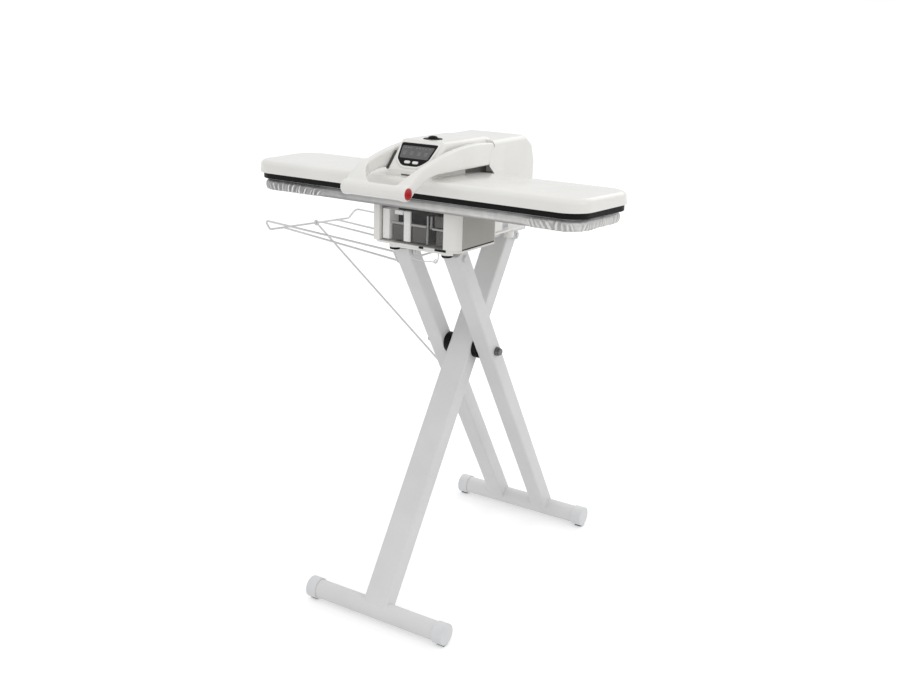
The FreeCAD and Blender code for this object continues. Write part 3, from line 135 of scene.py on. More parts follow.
# %% A socket that can be calculated with
class Shade:
    """One output socket of a node tree, which can be used in sums."""

    def __init__(self, tree, socket=None):
        self.tree = tree
        self.socket = socket

    def node(self, kind, settings=None, sockets=None, output=0):
        """Add a node: its settings first, then the values or links of its sockets."""
        made = self.tree.nodes.new(kind)
        for name, value in (settings or {}).items():
            setattr(made, name, value)
        for name, value in (sockets or {}).items():
            if isinstance(value, Shade):
                self.tree.links.new(value.socket, made.inputs[name])
            else:
                made.inputs[name].default_value = value
        return Shade(self.tree, made.outputs[output] if made.outputs else None)

    def maths(self, operation, first, second):
        """A Math node on two values."""
        return self.node("ShaderNodeMath", {"operation": operation}, {0: first, 1: second})

    def __add__(self, other):
        return self.maths("ADD", self, other)

    def __sub__(self, other):
        return self.maths("SUBTRACT", self, other)

    def __rsub__(self, other):
        return self.maths("SUBTRACT", other, self)

    def __mul__(self, other):
        return self.maths("MULTIPLY", self, other)

    __radd__ = __add__
    __rmul__ = __mul__

    def between(self, low, high):
        """0 below low, 1 above high, with a smooth step between them."""
        return self.node("ShaderNodeMapRange", {"interpolation_type": "SMOOTHSTEP"},
                         {"Value": self, "From Min": low, "From Max": high})

    def mixed(self, first, second):
        """The first colour where this value is 0, the second where it is 1."""
        return self.node("ShaderNodeMix", {"data_type": "RGBA"}, {0: self, 6: first, 7: second}, 2)

    def noise(self, scale, detail=2.0, stretch=(1, 1, 1)):
        """Cloudy values between 0 and 1 in object coordinates; scale is in features per metre."""
        place = self.node("ShaderNodeTexCoord", output=3)
        place = self.node("ShaderNodeMapping", sockets={"Vector": place, "Scale": stretch})
        return self.node("ShaderNodeTexNoise",
                         sockets={"Vector": place, "Scale": scale, "Detail": detail})

    def bump(self, height, strength, depth):
        """A normal that follows a height; depth is in millimetres."""
        return self.node("ShaderNodeBump",
                         sockets={"Height": height, "Strength": strength, "Distance": depth * MM})


def colour(red, green, blue):
    """A colour with its alpha, from values as a paint program shows them, from 0 to 255."""
    return tuple((part / 255) ** 2.2 for part in (red, green, blue)) + (1,)


def finish(name, **fixed):
    """The material of a name, emptied, with one Principled shader that has the fixed values."""
    material = bpy.data.materials.get(name) or bpy.data.materials.new(name)
    material.use_nodes = True
    material.node_tree.nodes.clear()
    start = Shade(material.node_tree)
    shader = material.node_tree.nodes.new("ShaderNodeBsdfPrincipled")
    for socket, value in fixed.items():
        shader.inputs[socket.replace("_", " ").title().replace("Ior", "IOR")].default_value = value
    start.node("ShaderNodeOutputMaterial", sockets={"Surface": Shade(start.tree, shader.outputs[0])})
    return material, start, shader


def feed(shader, **varied):
    """Link what changes over the surface to the shader's sockets."""
    for socket, value in varied.items():
        value.tree.links.new(value.socket, shader.inputs[socket.replace("_", " ").title()])


print("finishes are written with", [name for name in vars(Shade) if not name.startswith("__")])

# %% [markdown]
# ## White mouldings and painted steel
# The covers and the handle are glossy white plastic. Injection moulding leaves a very faint ripple,
# and hands leave the gloss a little uneven, so both are there, far below what the eye sees as a
# pattern. The legs are powder coated: same idea, with a finer and deeper orange peel and less
# gloss.

# %% Plastics and paints
def moulded(name, tone, dark, gloss, uneven, ripple, depth, coat=0.0, shine=0.5, glow=0.0):
    """A moulded or painted finish: nearly one tone, an uneven gloss and a fine ripple."""
    material, start, shader = finish(name, coat_weight=coat, coat_roughness=0.08,
                                     specular_ior_level=shine, emission_color=(1, 1, 1, 1),
                                     emission_strength=glow)
    cloud = start.noise(9, 3)
    peel = start.noise(ripple, 2)
    feed(shader, base_color=cloud.between(0.3, 0.7).mixed(colour(*dark), colour(*tone)),
         roughness=gloss + uneven * start.noise(40, 3),
         normal=start.bump(peel, 0.25, depth))
    return material


white_plastic = moulded("white_plastic", (236, 235, 231), (231, 230, 226), gloss=0.20, uneven=0.10,
                        ripple=700, depth=0.03, coat=0.3)
grey_plastic = moulded("grey_plastic", (168, 165, 159), (162, 159, 153), gloss=0.42, uneven=0.12,
                       ripple=1400, depth=0.06)
stand_paint = moulded("stand_paint", (220, 220, 220), (215, 215, 215), gloss=0.36, uneven=0.12,
                      ripple=1100, depth=0.08)
foot_plastic = moulded("foot_plastic", (222, 223, 224), (214, 215, 217), gloss=0.40, uneven=0.12,
                       ripple=1500, depth=0.06)
rack_wire = moulded("rack_wire", (228, 229, 230), (220, 221, 222), gloss=0.30, uneven=0.10,
                    ripple=900, depth=0.04)
black_plastic = moulded("black_plastic", (16, 16, 17), (11, 11, 12), gloss=0.42, uneven=0.14,
                        ripple=2200, depth=0.05, shine=0.16)
black_rubber = moulded("black_rubber", (24, 24, 25), (16, 16, 17), gloss=0.66, uneven=0.16,
                       ripple=1800, depth=0.12, shine=0.2)
hose_rubber = moulded("hose_rubber", (74, 74, 76), (60, 60, 62), gloss=0.58, uneven=0.16,
                      ripple=1500, depth=0.10)
red_plastic = moulded("red_plastic", (186, 20, 26), (170, 14, 20), gloss=0.22, uneven=0.10,
                      ripple=800, depth=0.03, coat=0.3)
print("plastics:", names(white_plastic, grey_plastic, foot_plastic, black_plastic, red_plastic))
print("paints and rubbers:", names(stand_paint, rack_wire, black_rubber, hose_rubber))

# %% [markdown]
# ## Metals, board and clear plastic
# Brushed metal has its scratches along one direction, so its noise is stretched. The pressing plate
# is polished aluminium, the axle parts are zinc plated, and their chrome nuts get a dark grey metal
# colour: a painted reflection of the dark surroundings that chrome mirrors. The water tank is smoky
# clear plastic. Alpha lets the light straight through its thin walls, so what is inside stays lit,
# and the gloss makes it read as plastic.

# %% Metals, board and clear plastic
WORN = 0.86


def brushed(name, tone, gloss, streak, stretch):
    """A metal with fine scratches along one direction."""
    material, start, shader = finish(name, metallic=1.0)
    clean = colour(*tone)
    worn = (*(WORN * part for part in clean[:3]), 1)
    scratch = start.noise(streak, 4, stretch)
    feed(shader, base_color=start.noise(30, 3).mixed(clean, worn), roughness=gloss + 0.22 * scratch,
         normal=start.bump(scratch, 0.12, 0.02))
    return material


steel = brushed("steel", (196, 197, 200), gloss=0.22, streak=600, stretch=(0.06, 1, 1))
# the dark colour of the chrome nuts is a painted reflection of dark surroundings
bright_cap = brushed("bright_cap", (112, 112, 114), gloss=0.06, streak=500, stretch=(1, 1, 1))
bronze = brushed("bronze", (190, 158, 100), gloss=0.25, streak=500, stretch=(0.1, 1, 1))
plate_metal = brushed("plate_metal", (214, 214, 216), gloss=0.16, streak=420, stretch=(0.03, 1, 1))


def pressed_board(name):
    """Heat-proof board: grey fibres pressed flat."""
    material, start, shader = finish(name)
    fibre = start.noise(260, 6, (0.35, 1, 1))
    feed(shader, base_color=fibre.mixed(colour(150, 148, 144), colour(178, 176, 172)),
         roughness=0.6 + 0.25 * fibre, normal=start.bump(fibre, 0.3, 0.15))
    return material


def smoky(name):
    """Smoky clear plastic: mostly see-through, with a grey body and a hard gloss."""
    material, start, shader = finish(name, coat_weight=0.4, coat_roughness=0.04)
    cloud = start.noise(14, 2)
    feed(shader, base_color=cloud.mixed(colour(150, 150, 151), colour(164, 164, 165)),
         roughness=0.06 + 0.08 * start.noise(60, 3), alpha=0.06 + 0.05 * cloud)
    return material


def lacquered_board(name):
    """A circuit board: green lacquer over copper tracks."""
    material, start, shader = finish(name, coat_weight=0.5)
    track = start.noise(220, 1, (1, 0.2, 1)).between(0.48, 0.52)
    feed(shader, base_color=track.mixed(colour(18, 74, 40), colour(44, 118, 66)),
         roughness=0.3 + 0.2 * track)
    return material


deck_board = pressed_board("deck_board")
smoke_clear = smoky("smoke_clear")
circuit_board = lacquered_board("circuit_board")
print("metals:", names(steel, bright_cap, bronze, plate_metal))
print("boards and clear plastic:", names(deck_board, circuit_board, smoke_clear))

# %% [markdown]
# ## Floor and light
# The picture is a bright studio shot on white. A white world gives the even light, a little
# brighter from above, one large lamp at the front left makes the long soft highlights on the
# covers, a smaller one from the right keeps that side readable, and one at the back serves the
# views from there. The floor is a wide pale sheet, which isn't part of the object. It throws no
# light back at the legs: that would make their sides as bright as their fronts, so the world
# gives an even light from below instead.

# %% Floor and light
def studio_lamp(name, place, target, width, height, power):
    """A rectangular lamp, at a place and turned to a target, both in metres."""
    lamp = bpy.data.lights.new(name, "AREA")
    lamp.shape = "RECTANGLE"
    lamp.size, lamp.size_y, lamp.energy = width, height, power
    holder = add_piece(name, lamp)
    holder.location = place
    holder.rotation_euler = (Vector(target) - Vector(place)).to_track_quat("-Z", "Y").to_euler()


FLOOR_HALF = 30  # metres
FLOOR_GLOW = 0.20
BACKDROP = 0.985
WALL_LIGHT, SIDE_LIGHT, LIGHT_FROM_BELOW = 0.84, 0.14, 0.62
BRIGHT_SIDE = Vector((0.25, 0.08, 0.95)).normalized()
PRESS_MIDDLE = (0, 0, 0.85)  # metres
FLOOR_CORNERS = ((-1, -1), (1, -1), (1, 1), (-1, 1))

floor_mesh = bpy.data.meshes.new("floor")
floor_points = [(x * FLOOR_HALF, y * FLOOR_HALF, -MM) for x, y in FLOOR_CORNERS]
floor_mesh.from_pydata(floor_points, [], [(0, 1, 2, 3)])
floor = add_piece("floor", floor_mesh)
floor_paint, start, shader = finish("floor_paint", emission_color=(1, 1, 1, 1),
                                    emission_strength=FLOOR_GLOW)
feed(shader, base_color=start.noise(2, 2).mixed(colour(250, 250, 250), colour(252, 252, 252)),
     roughness=0.8 + 0.1 * start.noise(6, 2))
floor_mesh.materials.append(floor_paint)
floor.visible_diffuse = False

world = bpy.data.worlds.new("white_studio")
world.use_nodes = True
world.node_tree.nodes.clear()
start = Shade(world.node_tree)
side = start.node("ShaderNodeVectorMath", {"operation": "DOT_PRODUCT"},
                  {0: start.node("ShaderNodeTexCoord"), 1: BRIGHT_SIDE}, 1)
seen = start.node("ShaderNodeLightPath")
around = start.maths("MAXIMUM", WALL_LIGHT + SIDE_LIGHT * side, LIGHT_FROM_BELOW)
glow = seen * BACKDROP + (1 - seen) * around
sky = start.node("ShaderNodeBackground", sockets={"Color": (1, 1, 1, 1), "Strength": glow})
start.node("ShaderNodeOutputWorld", sockets={"Surface": sky})
bpy.context.scene.world = world
bpy.context.scene.view_settings.view_transform = "Standard"

studio_lamp("front_lamp", (-0.9, -2.6, 2.6), PRESS_MIDDLE, width=2.2, height=1.6, power=2)
studio_lamp("right_lamp", (2.6, -0.2, 2.1), PRESS_MIDDLE, width=0.7, height=0.9, power=4)
studio_lamp("back_lamp", (0.4, 2.6, 2.4), PRESS_MIDDLE, width=2.0, height=1.4, power=8)
print("lamps:", names(*bpy.data.lights))

# %% [markdown]
# ## Rounding the plain solids
# No moulded or bent part has a knife edge: light catches a small rounding on every one of them. The
# CAD solids of the simple parts already have the right shape, so a merged copy of each gets a bevel
# on its sharp edges, smooth shading, and stands for its node. The bevel, in millimetres, is as wide
# as the real part's edge.

# %% Helpers that finish a piece
MERGE_WITHIN, FLAT_WITHIN, SHARP_FROM = 0.002, 0.5, 32


def bake(piece):
    """Turn what the modifiers make into the piece's own plain mesh."""
    depsgraph = bpy.context.evaluated_depsgraph_get()
    mesh = bpy.data.meshes.new_from_object(piece.evaluated_get(depsgraph),
                                           preserve_all_data_layers=True, depsgraph=depsgraph)
    piece.modifiers.clear()
    piece.data = mesh
    return piece


def smooth(piece, angle):
    """Smooth shading that stops at edges sharper than an angle and keeps flat faces flat."""
    piece.data.polygons.foreach_set("use_smooth", [True] * len(piece.data.polygons))
    piece.data.set_sharp_from_angle(angle=math.radians(angle))
    weighted = piece.modifiers.new("flat_faces", "WEIGHTED_NORMAL")
    weighted.keep_sharp = True
    return bake(piece)


def settle(piece, body, material, *replaced):
    """Give a piece its finish and its body, and hide the CAD nodes that it stands for."""
    if material:
        piece.data.materials.clear()
        piece.data.materials.append(material)
    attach(piece, body)
    if replaced:
        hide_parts(*replaced)
    return piece


def dress(piece, body, material, *replaced, angle=35):
    """Smooth a piece up to an angle, then settle it."""
    return settle(smooth(piece, angle), body, material, *replaced)


def merged_copy(node):
    """The CAD mesh of a node with its loose triangles joined and flat faces made whole."""
    mesh = nodes[node].data.copy()
    work = bmesh.new()
    work.from_mesh(mesh)
    bmesh.ops.remove_doubles(work, verts=work.verts, dist=MERGE_WITHIN * MM)
    bmesh.ops.dissolve_limit(work, angle_limit=math.radians(FLAT_WITHIN), verts=work.verts,
                             edges=work.edges)
    work.to_mesh(mesh)
    work.free()
    return add_piece(node + "_dressed", mesh)


def rounded_copy(node, width, steps=3):
    """The CAD shape of a node with its sharp edges rounded by a width."""
    piece = merged_copy(node)
    if width:
        edge = piece.modifiers.new("edge_rounding", "BEVEL")
        edge.width, edge.segments = width * MM, steps
        edge.limit_method, edge.angle_limit = "ANGLE", math.radians(SHARP_FROM)
        bake(piece)
    return dress(piece, body_of_node[node], None, node)


# %% Rounded copies of the plain solids
EDGE_ROUNDING = {
    "rear_foot_tube": 0.4, "front_foot_tube": 0.4, "rear_foot_caps": 1.6, "front_foot_caps": 1.6,
    "rear_sole_pads": 0.6, "front_sole_pads": 0.6, "pivot_spacers": 1.5, "pivot_cap_nuts": 0.5,
    "platform_hinge_bolts": 0.6, "cross_rollers": 0.8, "stay_rest": 1.0, "rail_left": 0.5,
    "rail_right": 0.5, "platform_strips": 0.5, "rack_brackets": 0.6, "base_tray": 1.2,
    "base_shell": 1.0, "side_panels": 0.5, "rear_housing": 1.8, "hinge_pedestal": 2.0,
    "board_deck": 1.2, "water_tank": 0.7, "tank_lid": 0.7, "filler_cap": 1.2, "head_rim": 1.0,
    "press_plate": 0.8, "lift_arms": 0.6, "hood": 0.5, "rear_cover": 0.6, "wire_rack": 0,
    "rack_stay": 0, "cord_gland": 0.6, "handle_pins": 0.5, "hinge_shaft": 0.5,
}
for node, width in EDGE_ROUNDING.items():
    rounded_copy(node, width)
print(len(EDGE_ROUNDING), "nodes have rounded copies")

# %% [markdown]
# ## Outlines and skins
# Most covers of the press are a flat outline carried upwards: the head's plan, the console's
# shield, a round button. So one helper draws a convex outline with rounded corners, drawn in by an
# inset, and another stretches a skin over a stack of such rings. A fillet is then only a few more
# rings.

# %% Outlines and skins
LEAST_BEND, BOX_EDGE = 0.4, 0.8
SIDES = (-1, 1)


def corner_arc(before, corner, after, radius, steps):
    """Points on the arc that rounds a corner."""
    back, ahead = (before - corner).normalized(), (after - corner).normalized()
    half = back.angle(ahead) / 2
    centre = corner + (back + ahead).normalized() * (radius / math.sin(half))
    first = corner + back * (radius / math.tan(half)) - centre
    last = corner + ahead * (radius / math.tan(half)) - centre
    turn = math.pi - 2 * half

    def turned_by(share):
        """A point on the arc, seen from its centre."""
        return (first * math.sin(turn * (1 - share)) + last * math.sin(turn * share)) / math.sin(turn)

    return [centre + turned_by(step / steps) for step in range(steps + 1)]


def rectangle(x0, y0, x1, y1):
    """The corners of a rectangle, counter-clockwise."""
    return [(x0, y0), (x1, y0), (x1, y1), (x0, y1)]


def neighbours(things):
    """Each thing of a round with the one before it and the one after it."""
    return zip(things[-1:] + things[:-1], things, things[1:] + things[:1])


def drawn_in(corners, inset):
    """A convex polygon, counter-clockwise, with every side moved in by the inset."""
    moved = []
    for before, corner, after in neighbours(corners):
        back, ahead = (before - corner).normalized(), (after - corner).normalized()
        reach = inset / math.sin(back.angle(ahead) / 2)
        moved.append(corner + (back + ahead).normalized() * reach)
    return moved


def outline(corners, radius, inset=0.0, steps=8, spacing=None):
    """Points of a rounded outline, with one radius or one per corner; spacing adds points on sides."""
    radii = radius if isinstance(radius, list) else [radius] * len(corners)
    corners = [Vector(corner) for corner in corners]
    lengths = [(after - corner).length for corner, after in zip(corners, corners[1:] + corners[:1])]
    corners = drawn_in(corners, inset)
    arcs = [corner_arc(*trio, max(bend - inset, LEAST_BEND), steps)
            for trio, bend in zip(neighbours(corners), radii)]
    points = []
    for arc, following, length in zip(arcs, arcs[1:] + arcs[:1], lengths):
        between = int(length / spacing) if spacing else 0
        shares = [(step + 1) / (between + 1) for step in range(between)]
        points += arc + [arc[-1].lerp(following[0], share) for share in shares]
    return points


def circle(radius, centre=(0, 0), steps=48):
    """A round outline as (x, y) points."""
    angles = [2 * math.pi * step / steps for step in range(steps)]
    return [Vector(centre) + radius * Vector((math.cos(angle), math.sin(angle))) for angle in angles]


def skin(name, rings, place, closed=False):
    """A skin over rings of points, all of one length; closed joins the last ring to the first."""
    count, last = len(rings[0]), len(rings) - 1
    corners = [place @ Vector(point) for ring in rings for point in ring]
    pairs = [(low, low + 1) for low in range(last)] + ([(last, 0)] if closed else [])
    faces = [(low * count + step, low * count + (step + 1) % count,
              high * count + (step + 1) % count, high * count + step)
             for low, high in pairs for step in range(count)]
    if not closed:
        faces += [tuple(reversed(range(count))), tuple(range(last * count, (last + 1) * count))]
    mesh = bpy.data.meshes.new(name)
    mesh.from_pydata(corners, [], faces)
    mesh.update()
    return add_piece(name, mesh)


def at_height(points, height):
    """A flat ring of points at one height."""
    return [(*point, height) for point in points]


def stacked(points_at, profile):
    """Rings for a profile of (inset, height) pairs; points_at gives the outline for an inset."""
    return [at_height(points_at(inset), height) for inset, height in profile]


def rounded_box(name, low, high, radius, place=PRESS):
    """A box with rounded upright corners and small edge roundings, between two corners."""
    (x0, y0, z0), (x1, y1, z1) = low, high
    corners = rectangle(x0, y0, x1, y1)
    edge = min(BOX_EDGE, (z1 - z0) / 4, radius * 0.6)
    return skin(name, stacked(lambda inset: outline(corners, radius, inset, steps=4),
                              [(edge, z0), (0, z0 + edge), (0, z1 - edge), (edge, z1)]), place)


def joined(name, pieces):
    """Several objects as one."""
    with bpy.context.temp_override(active_object=pieces[0], selected_editable_objects=pieces):
        bpy.ops.object.join()
    pieces[0].name = name
    return pieces[0]


def both_sides(name, make):
    """The left and the right piece of a kind as one; make takes -1 or 1."""
    return joined(name, [make(side) for side in SIDES])


def spread(first, last, steps):
    """Evenly spaced places from a first to a last one."""
    return [first + (last - first) * step / steps for step in range(steps + 1)]


def surface(piece):
    """The surface of a piece, to shoot rays at."""
    return bvhtree.BVHTree.FromObject(piece, bpy.context.evaluated_depsgraph_get())


def hit_place(tree, start, direction):
    """Where a ray from a place in the press frame meets a surface, in the press frame."""
    return PRESS.inverted() @ tree.ray_cast(PRESS @ Vector(start), direction)[0]


print("outline helpers ready")

# %% [markdown]
# ## Legs
# The legs are rectangular steel tube with generously rounded corners, which is where their long
# highlights come from. The CAD tubes have sharp corners, and a bevel can't be wider than their thin
# wall, so each leg is drawn again: a rounded rectangle along the line from the foot to the pivot,
# as long as its CAD solid.

# %% Legs
LEG_CORNER, LEG_HALF_DEPTH, LEG_RIM, LEG_EDGE = 4.5, 19, 1.5, 0.4
PIVOT = Vector(joints["stand_fold"]["pos_m"])


def leg_tube(node, foot):
    """A rounded tube in place of a leg, along the line from its foot to the pivot."""
    low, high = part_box(foot)
    foot_middle = (low + high) / 2
    foot_middle.x = 0
    rise = (PIVOT - foot_middle).normalized()
    across = Vector((1, 0, 0))
    facing = rise.cross(across)
    turn = Matrix((across, facing, rise)).transposed().to_4x4()
    place = Matrix.Translation(PIVOT) @ turn @ Matrix.Scale(MM, 4)
    reach = corners_in(place, nodes[node].data)
    (x0, _, z0), (x1, _, z1) = reach.min(0), reach.max(0)
    corners = rectangle(x0, -LEG_HALF_DEPTH, x1, LEG_HALF_DEPTH)
    foot_end = [(LEG_RIM, z0), (LEG_EDGE, z0), (0, z0 + LEG_EDGE)]
    head_end = [(0, z1 - LEG_EDGE), (LEG_EDGE, z1), (LEG_RIM, z1)]
    rings = stacked(lambda inset: outline(corners, LEG_CORNER, inset), foot_end + head_end)
    return dress(skin(node + "_tube", rings, place), body_of_node[node], stand_paint, node)


for leg, foot in (("outer_leg_left", "rear_foot_tube"), ("outer_leg_right", "rear_foot_tube"),
                  ("centre_leg", "front_foot_tube")):
    tube = leg_tube(leg, foot)
    print(tube.name, len(tube.data.polygons), "faces")

# %% [markdown]
# ## The head cover
# The cover is one white moulding as large as the head. It overhangs the black rim, its front and
# ends stand nearly upright, and a soft fillet leads to a top with a slight crown. Rings on the
# head's plan give exactly that: a few up the side, a quarter circle for the fillet, and a few
# across the top.

# %% Head cover
cover_low, cover_high = press_box("head_cover")
FRONT_HALF, CORNER = 395.5, 52
back_half = cover_high.x
head_plan = [(-FRONT_HALF, cover_low.y), (FRONT_HALF, cover_low.y), (back_half, cover_high.y),
             (-back_half, cover_high.y)]
COVER_FRONT, COVER_BACK, COVER_FILLET, COVER_CROWN = 27, 24, 12, 2.0
COVER_FOOT = ((14, 0.2), (1, 0.2), (0.3, 0.5), (0, 1.2))
COVER_LEAN, FILLET_STEPS = 1.2, 8
CROWN_INSETS, CROWN_MIDDLE, CROWN_REACH = (24, 40, 60, 80, 98), 100, 86
PLAN_STEP = 16


def plan_ring(inset):
    """The head's plan, drawn in by an inset."""
    return outline(head_plan, CORNER, inset, steps=14, spacing=PLAN_STEP)


def cover_top(y):
    """Height of the cover's top edge above its foot."""
    share = (y - cover_low.y) / (cover_high.y - cover_low.y)
    return COVER_FRONT + (COVER_BACK - COVER_FRONT) * share


def cover_rings():
    """The cover from its foot up the side, over the fillet and across the top."""
    foot = cover_low.z
    rings = [at_height(plan_ring(inset), foot + lift) for inset, lift in COVER_FOOT]
    for step in range(FILLET_STEPS + 1):
        angle = math.pi / 2 * step / FILLET_STEPS
        inset = COVER_LEAN + COVER_FILLET * (1 - math.cos(angle))
        sink = COVER_FILLET * (1 - math.sin(angle))
        rings.append([(*p, foot + cover_top(p.y) - sink) for p in plan_ring(inset)])
    for inset in CROWN_INSETS:
        crown = COVER_CROWN * (1 - ((CROWN_MIDDLE - inset) / CROWN_REACH) ** 2)
        rings.append([(*p, foot + cover_top(p.y) + crown) for p in plan_ring(inset)])
    return rings


cover = skin("head_cover_shell", cover_rings(), PRESS)
dress(cover, "head", white_plastic, "head_cover", angle=50)
print(cover.name, len(cover.data.polygons), "faces")

# %% [markdown]
# ## The handle
# Handle and arms are one soft moulding: the grip bar flows into the arms without an edge. Modelling
# that blend by hand takes long, so the CAD handle gets a curved web in each inside corner, is
# remeshed into small voxels and relaxed. That melts every inside corner and keeps the size. The red
# caps sit in the ends as shallow buttons.

# %% Handle and its end caps
HANDLE_VOXEL, HANDLE_RELAX = 2.0, 10
WEB_FRONT, WEB_BACK, WEB_INSET = -194, -126, 1.2
WEB_WIDE, WEB_STEPS = {-1: 42, 1: 16}, 9
ARM_INSIDE, ARM_PROBE = 60, 68
HANDLE_MIDDLE, RAY_LENGTH = 170, 150
handle = merged_copy("handle")
handle_surface = surface(handle)


def handle_height(x, y, direction):
    """Where a line through (x, y) meets the handle from below (1) or from above (-1)."""
    start = (x, y, HANDLE_MIDDLE - RAY_LENGTH * direction)
    return hit_place(handle_surface, start, UP * direction).z


def corner_web(side):
    """A web that fills the corner between the grip bar and an arm; side is -1 on the left."""
    rings = []
    for step in range(WEB_STEPS + 1):
        share = step / WEB_STEPS
        y = WEB_FRONT + (WEB_BACK - WEB_FRONT) * share
        low = handle_height(side * ARM_PROBE, y, 1) + WEB_INSET
        high = handle_height(side * ARM_PROBE, y, -1) - WEB_INSET
        inner = side * (ARM_INSIDE + 2 - WEB_WIDE[side] * (1 - share) ** 2)
        outer = side * (ARM_INSIDE + 5)
        ring = [(inner, y, low), (inner, y, high), (outer, y, high), (outer, y, low)]
        rings.append(ring if side > 0 else ring[::-1])
    return skin("corner_web", rings, PRESS)


handle = joined("handle_moulding", [handle, *(corner_web(side) for side in SIDES)])
voxels = handle.modifiers.new("voxels", "REMESH")
voxels.mode, voxels.voxel_size = "VOXEL", HANDLE_VOXEL * MM
relax = handle.modifiers.new("relax", "SMOOTH")
relax.factor, relax.iterations = 0.5, HANDLE_RELAX
bake(handle)
dress(handle, "handle", white_plastic, "handle", angle=60)

caps_low, caps_high = press_box("handle_end_caps")
CAP_RADIUS, CAP_SINK = 11.6, 1.5
CAP_PROFILE = ((0, -2), (0, -0.4), (0.5, 0.15), (2, 0.45), (6, 0.6))


def end_cap(side):
    """A shallow round button in the end of the grip bar; side is -1 on the left."""
    face = caps_high.x - CAP_SINK
    centre = ((caps_low.y + caps_high.y) / 2, (caps_low.z + caps_high.z) / 2)
    rings = [[(side * (face + out), y, z) for y, z in circle(CAP_RADIUS - inset, centre)]
             for inset, out in CAP_PROFILE]
    return skin("end_cap", rings if side > 0 else [ring[::-1] for ring in rings], PRESS)


end_buttons = both_sides("handle_end_buttons", end_cap)
dress(end_buttons, "handle", red_plastic, "handle_end_caps")
print(handle.name, len(handle.data.polygons), "faces,", end_buttons.name)

# %% [markdown]
# ## The console
# The display sits in a black shield on the hood's slope, inside a thin raised white border, with
# two oval white keys under it. All of it is drawn on the slope: its frame comes from the direction
# in which the keys go down.

# %% Console shield, border, lens and keys
CONSOLE_FOOT = Vector((0, -84, 167))
key_axis = PRESS.to_3x3().inverted() @ Vector(joints["console_left_press"]["axis"])
console_slope = math.atan2(key_axis.y, -key_axis.z)
CONSOLE = PRESS @ Matrix.Translation(CONSOLE_FOOT) @ Matrix.Rotation(console_slope, 4, "X")
SHIELD = [(-20, 0), (20, 0), (38, 17), (44, 56), (-44, 56), (-38, 17)]
SHIELD_CORNER = [22, 22, 22, 3.5, 3.5, 22]
GLASS = [(-33.5, 18.5), (33.5, 18.5), (39, 48.5), (-39, 48.5)]
KEY_AT, KEY_SIZE = (9.7, 9), (14, 6.5)
BORDER_PROFILE = [(-4.6, -1.5), (-4.6, 1.0), (-4.0, 2.2), (-2.8, 3.0), (-1.6, 3.2), (-0.6, 3.0),
                  (-0.1, 2.6), (-0.1, -1.0)]
SHIELD_PROFILE = [(0, -0.8), (0, 1.9), (0.5, 2.4), (1.6, 2.6)]
KEY_PROFILE = [(0, 1.5), (0, 3.3), (0.3, 3.8), (0.9, 4.2), (1.8, 4.3)]
GLASS_PROFILE = [(0, 1.7), (0, 2.7), (0.4, 2.9)]


def shield(inset):
    """The console's outline, drawn in by an inset."""
    return outline(SHIELD, SHIELD_CORNER, inset, steps=6)


border = skin("console_border", stacked(shield, BORDER_PROFILE), CONSOLE, closed=True)
dress(border, "head", white_plastic)
panel = skin("console_shield", stacked(shield, SHIELD_PROFILE), CONSOLE)
dress(panel, "head", black_plastic, "console_panel")


def key_outline(side):
    """The outline of a key, for any inset; side is -1 on the left."""
    x, y = side * KEY_AT[0], KEY_AT[1]
    half, wide = KEY_SIZE[0] / 2, KEY_SIZE[1] / 2
    corners = rectangle(x - half, y - wide, x + half, y + wide)
    return lambda inset: outline(corners, wide - 0.05, inset, steps=8)


for node, side in (("console_button_left", -1), ("console_button_right", 1)):
    key = skin(node + "_key", stacked(key_outline(side), KEY_PROFILE), CONSOLE)
    dress(key, body_of_node[node], white_plastic, node)
print("console slope", round(math.degrees(console_slope), 2), "degrees")

# %% [markdown]
# ## The display
# The glass is dark grey with faint lighter marks behind it, in two rows. The marks repeat, so
# Geometry Nodes lay them out: a grid of points, one small bar on each, realised into a plain mesh.
# They are plain bars.

# %% Display glass and its marks
display_glass = moulded("display_glass", (82, 82, 82), (75, 75, 76), gloss=0.16, uneven=0.08,
                        ripple=600, depth=0.01, coat=0.6)
display_mark = moulded("display_mark", (132, 132, 132), (118, 118, 119), gloss=0.3, uneven=0.1,
                       ripple=600, depth=0.01)
glass = skin("display_glass", stacked(lambda inset: outline(GLASS, 3, inset, steps=5), GLASS_PROFILE),
             CONSOLE)
dress(glass, "head", display_glass, "display_lens")


def instance_tree(name, shape, sockets):
    """A node tree that sets one small shape on every point of its mesh."""
    tree = bpy.data.node_groups.new(name, "GeometryNodeTree")
    tree.interface.new_socket("Geometry", in_out="INPUT", socket_type="NodeSocketGeometry")
    for label, value in sockets.items():
        socket = tree.interface.new_socket(label, in_out="INPUT", socket_type="NodeSocketFloat")
        socket.default_value = value
    tree.interface.new_socket("Material", in_out="INPUT", socket_type="NodeSocketMaterial")
    tree.interface.new_socket("Geometry", in_out="OUTPUT", socket_type="NodeSocketGeometry")
    group = tree.nodes.new("NodeGroupInput")
    start = Shade(tree)
    inputs = {socket.name: Shade(tree, socket) for socket in group.outputs if socket.name}
    placed = start.node("GeometryNodeInstanceOnPoints",
                        sockets={"Points": inputs["Geometry"], "Instance": shape(start, inputs)})
    real = start.node("GeometryNodeRealizeInstances", sockets={"Geometry": placed})
    dressed = start.node("GeometryNodeSetMaterial",
                         sockets={"Geometry": real, "Material": inputs["Material"]})
    start.node("NodeGroupOutput", sockets={"Geometry": dressed})
    return tree


